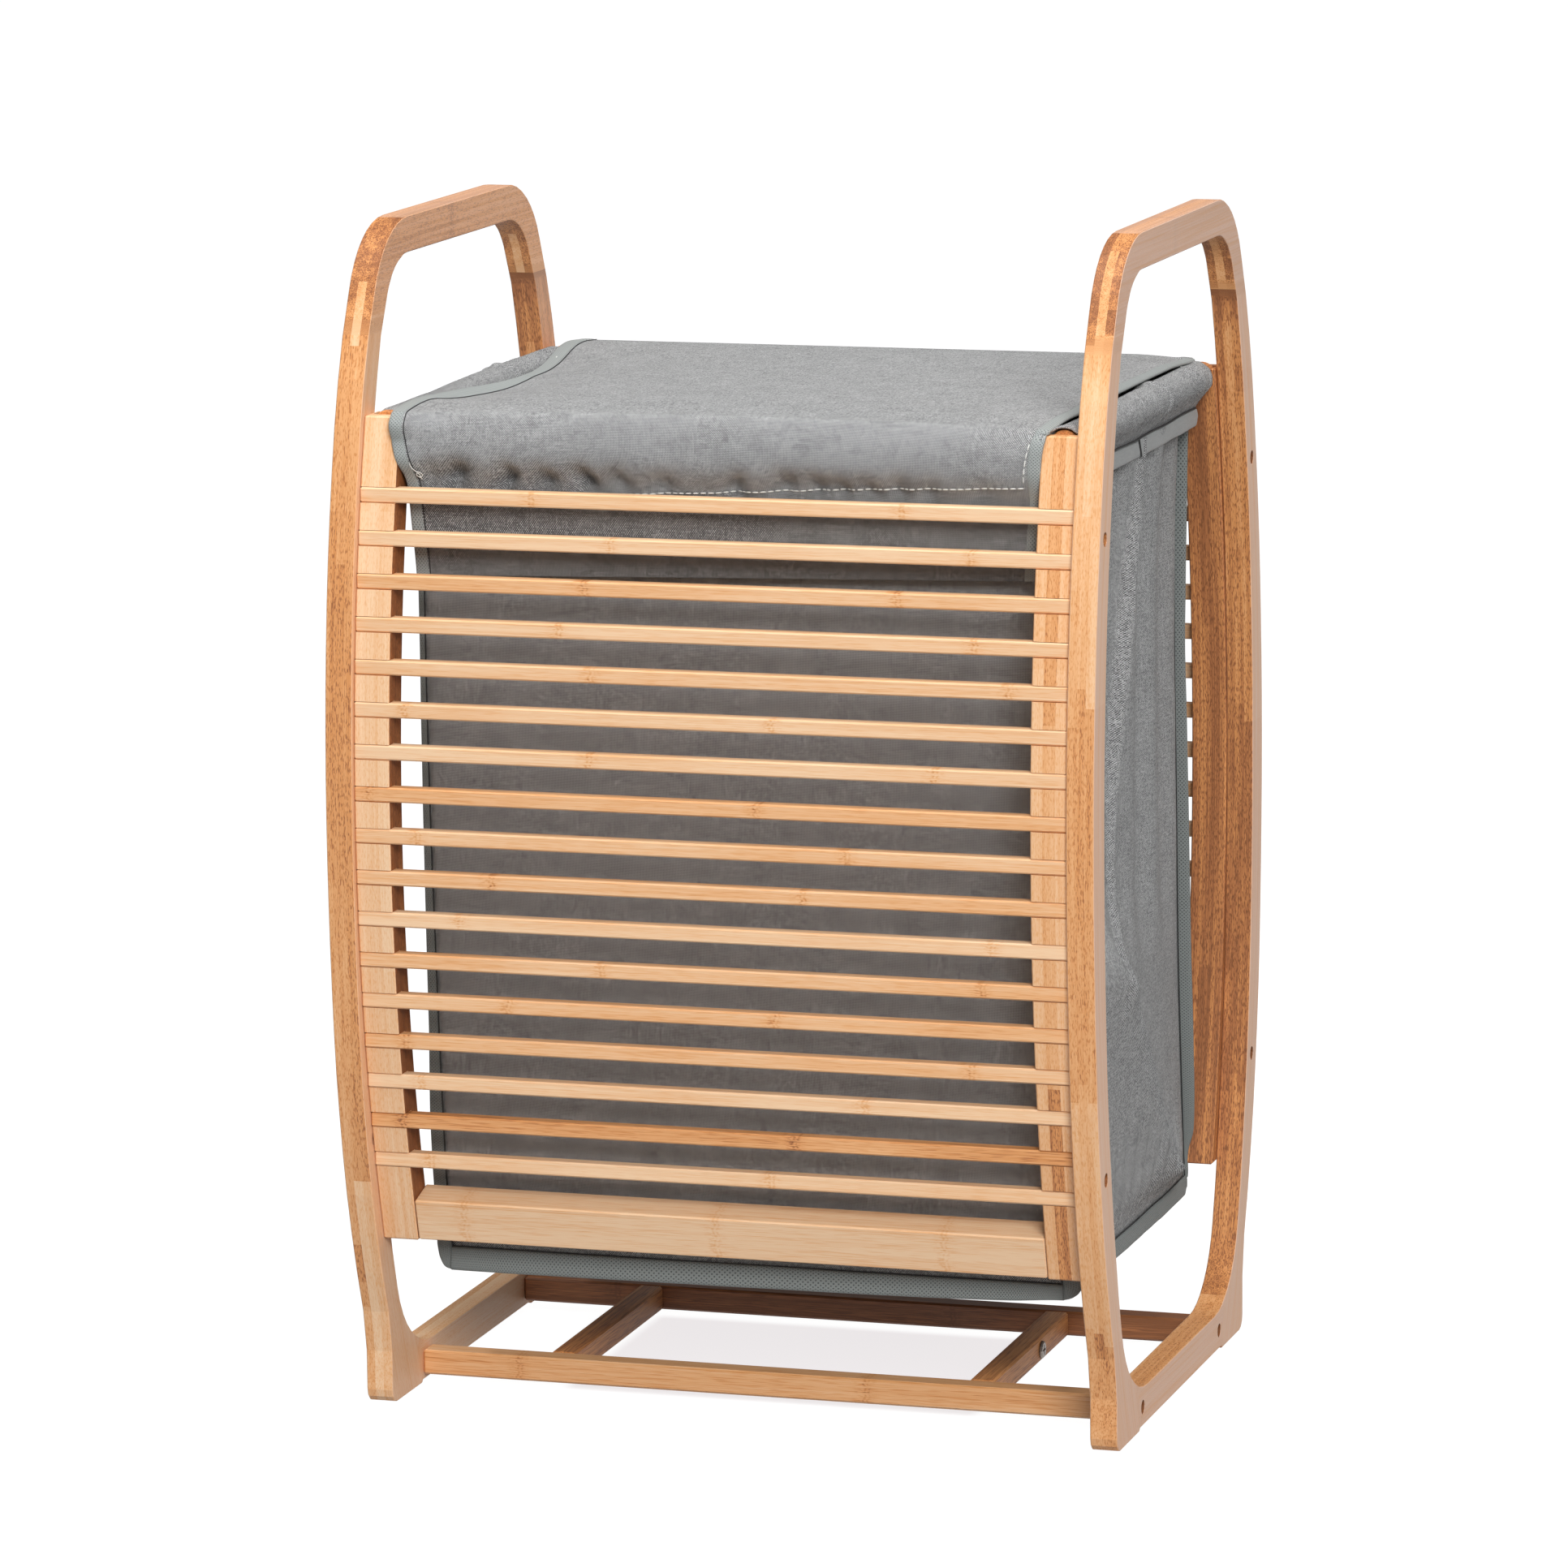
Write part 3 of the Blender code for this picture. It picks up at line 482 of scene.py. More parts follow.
# %% [markdown]
# ## Tape
# The binding is a soft non-woven tape, pressed with rows of small dimples that are set off by half a step in
# every other row; each dimple is painted darker, as painted shade. The bag's bindings take a darker copy of
# the tape, as painted shade. The tape under the casings is plain and only faintly ribbed, and its grey is set
# darker as painted shade under the casing.

# %% Bound tape and plain tape
DIMPLE_ROW, DIMPLE_STEP = 0.00095, 0.0018
DIMPLE_INSIDE, DIMPLE_OUTSIDE = 0.00018, 0.00044


def bound_tape(name, light, dark):
    finish = Finish(name)
    u, v = finish.cloth_place()

    def wrap(number, size):
        return number.maths("FLOORED_MODULO", size) - size / 2

    odd = wrap(math.floor(v / DIMPLE_ROW), 2.0) + 1
    across = wrap(u + odd * (DIMPLE_STEP / 2), DIMPLE_STEP)
    along = wrap(v, DIMPLE_ROW)
    far = (across * across + along * along) ** 0.5
    dimple = 1 - finish.ease(far, DIMPLE_INSIDE, DIMPLE_OUTSIDE)
    fuzz = finish.clouds(finish.point(u * 900, v * 900, 2), 2)
    # painted shade: each dimple is mixed towards the dark colour
    shaded = finish.mix(fuzz * 0.2, finish.mix(dimple * 0.85, light, dark), light)
    return finish.surface(shaded, 0.8 + fuzz * 0.1, fuzz * 0.3 - dimple, 0.0003, **{"Sheen Weight": 0.1})


def plain_tape(name, light, dark):
    finish = Finish(name)
    u, v = finish.cloth_place()
    fuzz = finish.clouds(finish.point(u * 1200, v * 1200, 2), 2)
    ribs = finish.clouds(finish.point(u * 1500, v * 120, 6), 2)
    colour = finish.mix(fuzz * 0.5 + ribs * 0.4, light, dark)
    return finish.surface(colour, 0.85 + fuzz * 0.1, fuzz + ribs, 0.0001, **{"Sheen Weight": 0.15})


tape_finish = bound_tape("grey_binding_tape", paint(160, 165, 163), paint(74, 81, 80))
# painted shade: a darker copy of the binding tape, for the bindings on the bag
shaded_binding_finish = bound_tape("binding_tape_painted_shade", paint(126, 131, 129), paint(52, 58, 57))
# the plain tape's own grey, set darker as painted shade under the casing
plain_finish = plain_tape("plain_grey_tape", paint(168, 170, 169), paint(124, 126, 126))

# %% [markdown]
# ## Thread and steel
# Thread is matt and twisted, so a fine noise changes its tone along it. The screws are metal with some wear:
# the two in the braces are bright zinc, and the twelve in the side frames are dark, partly their own dark
# tone and partly painted shade for the dark of their holes.


# %% Thread and screw steel
def thread(name, tone, shade):
    finish = Finish(name)
    x, y, z = finish.place()
    twist = finish.clouds(finish.point((x + y) * 2500, z * 2500, 3), 1)
    return finish.surface(finish.mix(twist, shade, tone), 0.75 + twist * 0.1, twist, 0.0001)


def screw_metal(name, tone, shade):
    finish = Finish(name)
    x, y, z = finish.place()
    wear = finish.clouds(finish.point(x * 900, y * 900, z * 900), 3)
    return finish.surface(finish.mix(wear, shade, tone), 0.28 + wear * 0.2, wear, 0.00005, Metallic=1.0)


white_thread = thread("white_thread", paint(244, 244, 240), paint(214, 214, 210))
# painted shadow: the dark seam lines are dark tubes laid where the seams lie in shade
seam_shadow_finish = thread("painted_seam_shadow", paint(52, 52, 52), paint(34, 34, 34))
steel_finish = screw_metal("zinc_screw_steel", paint(158, 148, 140), paint(112, 104, 98))
# partly painted shade: a darker copy of the screw steel, for the screws deep in their holes
shaded_screw_steel = screw_metal("screw_steel_painted_shade", paint(70, 64, 60), paint(40, 36, 34))

# %% [markdown]
# ## Finish the solids
# Each solid from the CAD gets the finish that its name asks for. The solids of the bag and the lid are only
# stand-ins for the cloth made below, and take the cloth's finish.

# %% Finish the solids
SOLID_FINISHES = {
    "side_frame": ring_finish,
    "stile": stile_finish,
    "slat": slat_finish,
    "bottom_rail": rail_finish,
    "base_rail": base_finish,
    "brace_screw": steel_finish,
    "base_brace": brace_finish,
    "hanging_rod": rod_finish,
}
for name, solid in nodes.items():
    finish = next((finish for part, finish in SOLID_FINISHES.items() if part in name), cloth_finish)
    solid.data.materials.clear()
    solid.data.materials.append(finish)
print("finished", len(nodes), "solids")

# %% [markdown]
# ## How the cloth is shaped
# A sheet starts as a flat grid. Each of its points has a place across and along the cloth, and one short
# function says where that point of the cloth hangs. A tube or a binding is the same grid rolled up, with its
# seam merged. This keeps the cloth's own measure on it, which the weave needs.


# %% Draw smooth curves
def curve(table, at):
    """A smooth curve through rows of (place, value), level beyond its ends."""
    if at <= table[0][0]:
        return table[0][1]
    if at >= table[-1][0]:
        return table[-1][1]
    i = next(i for i in range(len(table) - 1) if at <= table[i + 1][0])

    def slope(k):
        if k in (0, len(table) - 1):
            return 0.0 if len(table) > 2 else (table[1][1] - table[0][1]) / (table[1][0] - table[0][0])
        return (table[k + 1][1] - table[k - 1][1]) / (table[k + 1][0] - table[k - 1][0])

    (x0, y0), (x1, y1) = table[i], table[i + 1]
    span = x1 - x0
    t = (at - x0) / span
    rise = y0 * (1 + 2 * t) * (1 - t) ** 2 + y1 * t * t * (3 - 2 * t)
    return rise + span * t * (1 - t) * (slope(i) * (1 - t) - slope(i + 1) * t)


def step(at, low, high):
    """0 below low, 1 above high, and a smooth step between."""
    t = min(1, max(0, (at - low) / (high - low)))
    return t * t * (3 - 2 * t)


def hump(off, size):
    """1 in the middle, and almost nothing at two sizes from it."""
    return math.exp(-((off / size) ** 2))


def ripple(x, y, z, size):
    """A soft, unchanging wave between -1 and 1, about size metres long."""
    return noise.noise(Vector((x, y, z)) / size)


# %% Shape a sheet or a tube
def grid_sheet(name, across, along, flat, place):
    bpy.ops.object.select_all(action="DESELECT")
    bpy.ops.mesh.primitive_grid_add(x_subdivisions=across, y_subdivisions=along, size=2)
    piece = bpy.context.object
    piece.name = piece.data.name = name
    for corner in piece.data.uv_layers.active.data:
        corner.uv = (corner.uv.x * flat[0], corner.uv.y * flat[1])
    for vertex in piece.data.vertices:
        vertex.co = place((vertex.co.x + 1) / 2, (vertex.co.y + 1) / 2)
    bpy.ops.object.shade_smooth()
    return piece


def thicken(piece, thickness):
    bpy.context.view_layer.objects.active = piece
    wall = piece.modifiers.new("cloth_thickness", "SOLIDIFY")
    wall.thickness, wall.offset, wall.use_even_offset = thickness, 0, True
    bpy.ops.object.modifier_apply(modifier=wall.name)


def rolled(name, around, along, flat, place, capped=True):
    """A grid rolled into a tube: its seam is merged, its ends are filled and its faces point out."""
    piece = grid_sheet(name, around, along, flat, place)
    bpy.ops.object.mode_set(mode="EDIT")
    bpy.ops.mesh.select_all(action="SELECT")
    bpy.ops.mesh.remove_doubles(threshold=0.00002)
    if capped:
        bpy.ops.mesh.select_all(action="SELECT")
        bpy.ops.mesh.fill_holes(sides=0)
    bpy.ops.mesh.select_all(action="SELECT")
    bpy.ops.mesh.normals_make_consistent(inside=False)
    bpy.ops.object.mode_set(mode="OBJECT")
    return piece


def dress(piece, finish, body=None):
    piece.data.materials.clear()
    piece.data.materials.append(finish)
    if body:
        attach(piece, body)
    print(piece.name, len(piece.data.polygons), "faces")
    return piece


# %% [markdown]
# ## The lid and its flap
# The lid is one cloth: it lies over the two casings, turns down over the front, lies on the stiles' tops and
# tucks in behind the first slat. It is cut straight but pulled by hand, so its side edges wander and its left
# side sags. The places are read off the picture and written as short curves, so each is easy to change.

# %% Measure the lid
LID_BACK, LID_HEIGHT, LID_WIDTH = 0.1446, 0.5557, 0.3600
FRONT_BEND, FALL_START = 0.1545, 0.118  # how far forward the top ends, and where it starts to fall
CREST = [  # the height of the front bend along its width
    (-0.183, 0.5521), (-0.164, 0.5523), (-0.086, 0.5537), (0.005, 0.5548),
    (0.094, 0.5542), (0.161, 0.5528), (0.181, 0.5520),
]
FLAP = [  # length down from the bend, how far forward and how high, in metres
    (0.0, -FRONT_BEND, 0.5548),
    (0.001, -0.1554, 0.5542),
    (0.006, -0.1584, 0.5503),
    (0.0102, -0.1602, 0.5466),
    (0.0148, -0.1615, 0.5422),
    (0.0208, -0.1623, 0.5362),
    (0.0280, -0.1621, 0.5290),
    (0.0342, -0.1603, 0.5233),
    (0.0392, -0.1578, 0.5188),
    (0.0438, -0.1560, 0.5144),
    (0.0570, -0.1540, 0.5014),
    (0.0910, -0.1498, 0.4676),
]
FLAP_Y = [(down, y) for down, y, z in FLAP]
FLAP_Z = [(down, z) for down, y, z in FLAP]
FLAP_LENGTH = FLAP[-1][0]
LID_TOP_LENGTH = LID_BACK + FRONT_BEND
LID_LENGTH = LID_TOP_LENGTH + FLAP_LENGTH
print("lid cloth:", LID_WIDTH, "x", round(LID_LENGTH, 4), "m")

# %% Side edges and folds of the lid
TOP_LEFT = [  # how far out the left edge lies, from front to back
    (-0.16, 0.1813), (-0.149, 0.1813), (-0.13, 0.1800), (-0.11, 0.1778), (-0.08, 0.1748), (-0.045, 0.1714),
    (-0.015, 0.1675), (0.027, 0.1665), (0.06, 0.1703), (0.08, 0.1738), (0.115, 0.1794), (0.137, 0.1802),
    (0.1446, 0.1765),
]
TOP_RIGHT = [
    (-0.16, 0.1808), (-0.150, 0.1820), (-0.11, 0.1848), (-0.018, 0.1834), (0.051, 0.1839), (0.112, 0.1850),
    (0.130, 0.1862), (0.140, 0.1856), (0.1446, 0.1830),
]
LEFT_DIP = [(-0.135, 0.0), (-0.105, 0.0022), (-0.08, 0.0034), (-0.04, 0.0032), (-0.01, 0.0012), (0.01, 0.0)]
LEFT_SAG = [
    (-0.13, 0.0), (-0.08, 0.0016), (-0.03, 0.0038), (0.03, 0.0045),
    (0.08, 0.0030), (0.12, 0.0004), (0.135, 0.0),
]
FLAP_LEFT = [  # how far out the flap's left edge lies, from low to high
    (0.463, 0.1722), (0.493, 0.1736), (0.5116, 0.1745), (0.5167, 0.1752), (0.5195, 0.1759), (0.5226, 0.1766),
    (0.5299, 0.1784), (0.5386, 0.1804), (0.550, 0.1813),
]
FLAP_RIGHT = [
    (0.463, 0.1724), (0.493, 0.1745), (0.513, 0.1770), (0.523, 0.1775),
    (0.535, 0.1776), (0.542, 0.1782), (0.5507, 0.1796), (0.5525, 0.1808),
]
PUCKERS = [  # the tucks above the first slat: their place and how deep each is
    (-0.1640, 0.80), (-0.1475, 1.15), (-0.1185, 1.10), (-0.0980, 0.75), (-0.0755, 1.05), (-0.055, 0.5),
    (-0.030, 0.45), (0.010, 0.7), (0.036, 0.75), (0.053, 0.8), (0.0666, 0.7), (0.0825, 0.6),
    (0.0997, 0.55), (0.1165, 0.45), (0.146, 0.3),
]
PUCKER_HEIGHT, PUCKER_WIDE, PUCKER_TALL, PUCKER_DEPTH = 0.5184, 0.0064, 0.0068, 0.0125
STILE_IN, STILE_TOP = 0.1772, 0.5509
print("puckers:", len(PUCKERS))


# %% Hang the lid
def top_point(side, run, pulled, lift):
    """A point of the part that lies over the casings, run metres from the back."""
    y = LID_BACK - run * (LID_TOP_LENGTH + pulled) / LID_TOP_LENGTH
    edge = curve(TOP_LEFT if side < 0 else TOP_RIGHT, y)
    x = side * edge
    held = step(abs(y + 0.005), 0.10, 0.1446)
    z = LID_HEIGHT + 0.0005 * ripple(x, y, 0, 0.08) * (1 - held) + 0.0008 * (1 - side * side) * (1 - held)
    from_left = x + edge
    z -= curve(LEFT_SAG, y) * (1 - step(from_left, 0.0, 0.055))
    z -= curve(LEFT_DIP, y) * step(from_left, 0.001, 0.0085) * (1 - step(from_left, 0.02, 0.06))
    z -= 0.0015 * step(x, 0.150, 0.184) * step(y, 0.09, 0.14)
    fall = min(1, max(0, (-y - FALL_START) / (FRONT_BEND + pulled - FALL_START)))
    z += (curve(CREST, x) - z) * fall**1.8
    return Vector((x, y, z + lift))


def pucker(x, z):
    """How far the tucks above the first slat push the flap in."""
    fold = 0.0
    for i, (at, deep) in enumerate(PUCKERS):
        wide = PUCKER_WIDE + 0.0010 * math.sin(i * 2.4)
        reach = hump(z - PUCKER_HEIGHT - 0.0010 * math.sin(i * 1.7), PUCKER_TALL)
        fold += deep * reach * hump(x - at - 0.0015 * math.sin(z * 300 + i), wide)
    return PUCKER_DEPTH * min(fold, 1.15)


def flap_point(side, down, pulled, lift):
    """A point of the flap, down metres below the bend."""
    y = curve(FLAP_Y, down) - pulled * (1 - step(down, 0.006, 0.022))
    z = curve(FLAP_Z, down)
    x = side * curve(FLAP_LEFT if side < 0 else FLAP_RIGHT, z)
    z += (curve(CREST, x) - FLAP[0][2]) * (1 - step(down, 0.0, 0.035))
    free = step(z, 0.5135, 0.52) * (1 - step(z, 0.540, 0.552))
    between = 1 - step(abs(x), 0.157, 0.170)
    y += pucker(x, z) * between
    y += 0.0010 * ripple(x, 3.1, z * 0.5, 0.024) * free * between
    y += 0.0006 * ripple(x, 7.7, z, 0.045) * step(-z, -0.50, -0.48)
    z += 0.00425 * side * step(down, 0.055, FLAP_LENGTH)
    if abs(x) > STILE_IN + 0.0004 and y > -0.1600 and z < STILE_TOP:
        z = STILE_TOP
    if z < STILE_TOP:
        in_front = step(z, 0.5190, 0.5320) * step(-x, 0.160, 0.1776)
        y += (min(y, -bow_face(z) - 0.0012) - y) * in_front
    return Vector((x, y - lift, z))


def lid_point(u, v, lift=0.0):
    """Where a point of the lid's cloth lies: u from left to right, v from the hem to the back."""
    run = (1 - v) * LID_LENGTH
    side = 2 * u - 1
    pulled = (0.0058 if side < 0 else 0.0016) * step(abs(side), 0.86, 0.985)
    if run <= LID_TOP_LENGTH:
        return top_point(side, run, pulled, lift)
    return flap_point(side, run - LID_TOP_LENGTH, pulled, lift)


LID_THICK = 0.0010
lid = grid_sheet("lid_cover", 150, 164, (LID_WIDTH, LID_LENGTH), lid_point)
thicken(lid, LID_THICK)
dress(lid, lid_finish)
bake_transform(lid)
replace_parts(lid, "lid_panel", "lid_skirt")

# %% [markdown]
# ## Binding on the lid's two sides
# A folded tape covers each cut edge. Its section is a flat loop round the edge, which is carried along the
# edge from the hem to the back, so it needs the cloth's direction at each place.

# %% Bind the lid
SIDES = ((-1, "left"), (1, "right"))
LID_BINDING_WIDE = {  # from the hem to the back
    "left": [
        (0.0, 0.0078), (0.118, 0.0070), (0.16, 0.0072), (0.21, 0.0074),
        (0.32, 0.0088), (0.5, 0.0095), (1.0, 0.0095),
    ],
    "right": [(0.0, 0.0078), (1.0, 0.0074)],
}
BINDING_HALF, BINDING_PROUD = 0.00105, 0.0006


def lid_frame(u, v):
    """A point of the lid with the directions across it and out of it."""
    here = lid_point(u, v)
    across = (lid_point(min(1, u + 0.004), v) - lid_point(max(0, u - 0.004), v)).normalized()
    along = (lid_point(u, min(1, v + 0.002)) - lid_point(u, max(0, v - 0.002))).normalized()
    return here, across, across.cross(along).normalized()


def edge_binding(name, side, widths):
    def place(u, v):
        angle = 2 * math.pi * u
        inward = (0.5 - 0.5 * math.cos(angle)) ** 0.8 * curve(widths, v)
        over = math.sin(angle)
        _, across, out = lid_frame(0.0 if side < 0 else 1.0, v)
        base = lid_point(inward / LID_WIDTH if side < 0 else 1 - inward / LID_WIDTH, v)
        bulge = BINDING_HALF * (abs(over) ** 0.35) * (1 if over > 0 else -1)
        return base + out * bulge + across * (BINDING_PROUD * side)

    return rolled(name, 16, 240, (0.019, LID_LENGTH), place)


lid_bindings = []
for side, across in SIDES:
    binding = edge_binding(f"lid_binding_{across}", side, LID_BINDING_WIDE[across])
    lid_bindings.append(dress(binding, tape_finish))
for binding in lid_bindings:
    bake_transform(binding)

# %% [markdown]
# ## Rows of stitches
# One stitch is a small bead stretched to a grain of rice. It is copied along each seam and the copies are
# joined, so that a row is one piece. The first row holds the flap's hem, which slants a little and so dips
# behind the first slat on the left, and the second holds the right binding.


# %% Sew a row
def stitch_row(name, points, length, gap, thick):
    """Stitches laid end to end along a list of points."""
    bpy.ops.object.select_all(action="DESELECT")
    bpy.ops.mesh.primitive_uv_sphere_add(segments=6, ring_count=5, radius=0.5)
    first = bpy.context.object
    bpy.ops.transform.resize(value=(thick, thick, length))
    bpy.ops.object.transform_apply(scale=True)
    bpy.ops.object.shade_smooth()
    reach = [0.0]
    for a, b in zip(points, points[1:]):
        reach.append(reach[-1] + (b - a).length)
    row, at = [], length / 2
    while at < reach[-1] - length / 2:
        i = next(i for i in range(len(reach) - 1) if at <= reach[i + 1])
        share = (at - reach[i]) / (reach[i + 1] - reach[i])
        middle = points[i].lerp(points[i + 1], share)
        turn = (points[i + 1] - points[i]).to_track_quat("Z", "Y").to_matrix().to_4x4()
        copy = bpy.data.objects.new(name, first.data.copy())
        copy.data.transform(Matrix.Translation(middle) @ turn)
        bpy.context.scene.collection.objects.link(copy)
        row.append(copy)
        at += length + gap
    bpy.data.objects.remove(first)
    bpy.ops.object.select_all(action="DESELECT")
    for copy in row:
        copy.select_set(True)
    bpy.context.view_layer.objects.active = row[0]
    bpy.ops.object.join()
    piece = bpy.context.object
    piece.name = piece.data.name = name
    return piece


# %% Stitch the flap
FLAP_HALF = 0.178
ROW_LEFT, ROW_LOW, ROW_RISE, ROW_STEP = -0.166, 0.5063, 0.0478, 0.002  # the hem's row, and how it slants
EDGE_RIGHT, EDGE_LOW, EDGE_LEAN, EDGE_STEP = 0.1692, 0.5255, 0.00009, 0.001  # beside the right binding
STITCH_GAP = 0.0008


def flap_point_at(x, z, lift):
    """The point of the flap at a place across and a height."""
    u = (x / FLAP_HALF + 1) / 2
    low, high = 0.0, FLAP_LENGTH / LID_LENGTH
    for _ in range(24):
        middle = (low + high) / 2
        if lid_point(u, middle).z < z:
            low = middle
        else:
            high = middle
    return lid_point(u, low, lift)


hem_line = [
    flap_point_at(ROW_LEFT + ROW_STEP * i, ROW_LOW + ROW_RISE * ROW_STEP * i, 0.0015) for i in range(170)
]
edge_line = [flap_point_at(EDGE_RIGHT + EDGE_LEAN * i, EDGE_LOW + EDGE_STEP * i, 0.0022) for i in range(24)]
lid_threads = [
    dress(stitch_row("flap_stitches", hem_line, 0.0034, STITCH_GAP, 0.0009), white_thread),
    dress(stitch_row("edge_stitches", edge_line, 0.0036, STITCH_GAP, 0.0008), white_thread),
]

# %% [markdown]
# ## Threads and the painted shadow lines of seams
# A seam's shadow shows as a thin dark line beside its binding. It is painted as a fine dark tube that is
# carried along a list of points. The same tube in white is the loose end of thread at the flap's left edge
# and a bar tack on top.

# %% Lay threads on the lid
SEAM_STEPS, SEAM_OFF, SEAM_LIFT = 260, 0.0006, 0.0007
LOOSE_X = [
    -0.1704, -0.1708, -0.1703, -0.1696, -0.1685, -0.1676, -0.1680,
    -0.1693, -0.1701, -0.1695, -0.1686, -0.1689, -0.1685,
]
LOOSE_Z = [
    0.5260, 0.5246, 0.5229, 0.5212, 0.5207, 0.5196, 0.5183,
    0.5179, 0.5189, 0.5202, 0.5194, 0.5180, 0.5165,
]


def laid_thread(name, points, thick, finish):
    side, frames = Vector((0.3, 0.5, 0.8)), []
    for i, here in enumerate(points):
        along = (points[min(i + 1, len(points) - 1)] - points[max(i - 1, 0)]).normalized()
        side = (side - along * side.dot(along)).normalized()
        frames.append((here, side, along.cross(side)))

    def place(u, v):
        here, first, second = frames[round(v * (len(frames) - 1))]
        turn = 2 * math.pi * u
        return here + (first * math.cos(turn) + second * math.sin(turn)) * thick / 2

    return dress(rolled(name, 6, len(points) - 1, (3 * thick, 0.1), place), finish)


seam = []
for i in range(SEAM_STEPS + 1):
    v = i / SEAM_STEPS
    here, _, out = lid_frame(curve(LID_BINDING_WIDE["left"], v) / LID_WIDTH + SEAM_OFF, v)
    seam.append(here + out * SEAM_LIFT)
lid_threads.append(laid_thread("lid_seam_shadow", seam, 0.0006, seam_shadow_finish))

loose = []
for i in range(4 * len(LOOSE_X) - 3):
    x, z = (curve(list(enumerate(row)), i / 4) for row in (LOOSE_X, LOOSE_Z))
    loose.append(flap_point_at(x, z, 0.0030 + 0.0002 * math.sin(i)))
lid_threads.append(laid_thread("loose_thread", loose, 0.0005, white_thread))

tack = [lid_point(0.0135, 0.83 + 0.0009 * i, 0.0014) for i in range(8)]
lid_threads.append(laid_thread("lid_bar_tack", tack, 0.0006, white_thread))
for piece in lid_threads:
    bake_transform(piece)

# %% [markdown]
# ## The bag
# The bag is a deep box of cloth that hangs from two rods. Its walls meet in bound seams at the corners, which
# pull the corners in, so each side wall swells between them. The right wall has one long crease and below it
# a slanting fold. The four walls are one band of cloth, so they are one sheet that goes round the bag.

# %% Plan of the bag
BAG_BOTTOM, BAG_TOP = 0.0885, 0.5270
BAG_TALL = BAG_TOP - BAG_BOTTOM
WALLS = ("front", "right", "back", "left")
WALL_OUT = (Vector((0, -1, 0)), Vector((1, 0, 0)), Vector((0, 1, 0)), Vector((-1, 0, 0)))
WALL_LENGTHS = (0.350, 0.268, 0.350, 0.268)
BAG_GIRTH = round(sum(WALL_LENGTHS), 3)
SEAM_RIGHT = [  # how far out the right corners lie at each height
    (0.086, 0.1809), (0.103, 0.1801), (0.136, 0.1789), (0.214, 0.1766), (0.325, 0.1751), (0.40, 0.1742),
    (0.51, 0.1743), (0.53, 0.1760),
]
SEAM_LEFT = [(0.086, 0.1655), (0.136, 0.1680), (0.30, 0.1720), (0.40, 0.1735), (0.51, 0.1743), (0.53, 0.1760)]
SEAM_DEPTH = [(0.078, 0.1318), (0.12, 0.1335), (0.30, 0.1355), (0.45, 0.1350), (0.53, 0.1335)]
SIDE_SWELL = [(0.086, 0.0004), (0.12, 0.0016), (0.25, 0.0036), (0.45, 0.0058), (0.51, 0.0086), (0.53, 0.0092)]
CREASE = [  # where the long crease runs, as (height, y)
    (0.09, -0.046), (0.232, -0.042), (0.348, -0.020), (0.413, -0.008),
    (0.457, -0.002), (0.511, 0.011), (0.53, 0.014),
]
SLANT = [  # where the slanting fold runs
    (0.078, 0.140), (0.092, 0.103), (0.116, 0.055), (0.150, 0.023),
    (0.188, -0.003), (0.232, -0.040), (0.26, -0.060),
]
CREASE_PROUD, WAVE_PROUD, WAVE_LENGTH, RIDGE_PROUD, TUCK_PROUD = 0.0058, 0.0028, 0.058, 0.0170, 0.0018
print("band of cloth:", BAG_GIRTH, "x", round(BAG_TALL, 4), "m")


# %% Hang the walls
def right_relief(y, z):
    """How far the right wall stands out of its plain swell: a long crease and a slanting ridge below it."""
    off = y - curve(CREASE, z)
    crease = CREASE_PROUD * (1 - step(-off, 0.0, 0.0060)) * math.exp(-max(0, off) / 0.028)
    crease += WAVE_PROUD * math.sin((y + 0.03 * z) * 2 * math.pi / WAVE_LENGTH) * step(z, 0.20, 0.30)
    past = y - curve(SLANT, z)
    behind = 0.7 * math.exp(-past / 0.060) + 0.3 * hump(past, 0.010)
    ridge = RIDGE_PROUD * (math.exp(past / 0.055) if past < 0 else behind)
    near_hem = step(z, 0.088, 0.112)
    tucks = TUCK_PROUD * (1 - step(z, 0.10, 0.17)) * math.sin(y * 420 + 2 * ripple(y, 1, z, 0.05)) * near_hem
    return crease * step(z, 0.19, 0.27) + ridge * (1 - step(z, 0.235, 0.285)) * near_hem + tucks


def bag_wall(wall, t, z):
    """A point of one wall: front, right, back or left, t going round the bag."""
    right, left = curve(SEAM_RIGHT, z), -curve(SEAM_LEFT, z)
    depth = curve(SEAM_DEPTH, z)
    round_off = 1 - abs(2 * t - 1) ** 7
    slack = math.sin(math.pi * min(1, max(0, (z - 0.09) / 0.44)))
    if wall in (0, 2):
        x = left + (right - left) * (t if wall == 0 else 1 - t)
        y = -depth - round_off * (0.0008 + 0.0022 * slack + 0.0009 * ripple(x, wall, z, 0.08))
        return Vector((x, y if wall == 0 else -y, z))
    y = -depth + 2 * depth * (t if wall == 1 else 1 - t)
    swell = curve(SIDE_SWELL, z) * round_off
    if wall == 1:
        swell += right_relief(y, z) * round_off + 0.0007 * ripple(y, 5, z, 0.05) * round_off
        return Vector((right + swell, y, z))
    return Vector((left - swell - 0.0009 * ripple(y, 8, z, 0.07) * round_off, y, z))


def bag_point(u, v):
    """The whole band of walls: four walls one after the other, as long as they really are."""
    run = u * sum(WALL_LENGTHS)
    wall = 0
    while wall < 3 and run > WALL_LENGTHS[wall]:
        run -= WALL_LENGTHS[wall]
        wall += 1
    return bag_wall(wall, min(1, run / WALL_LENGTHS[wall]), BAG_BOTTOM + v * BAG_TALL)


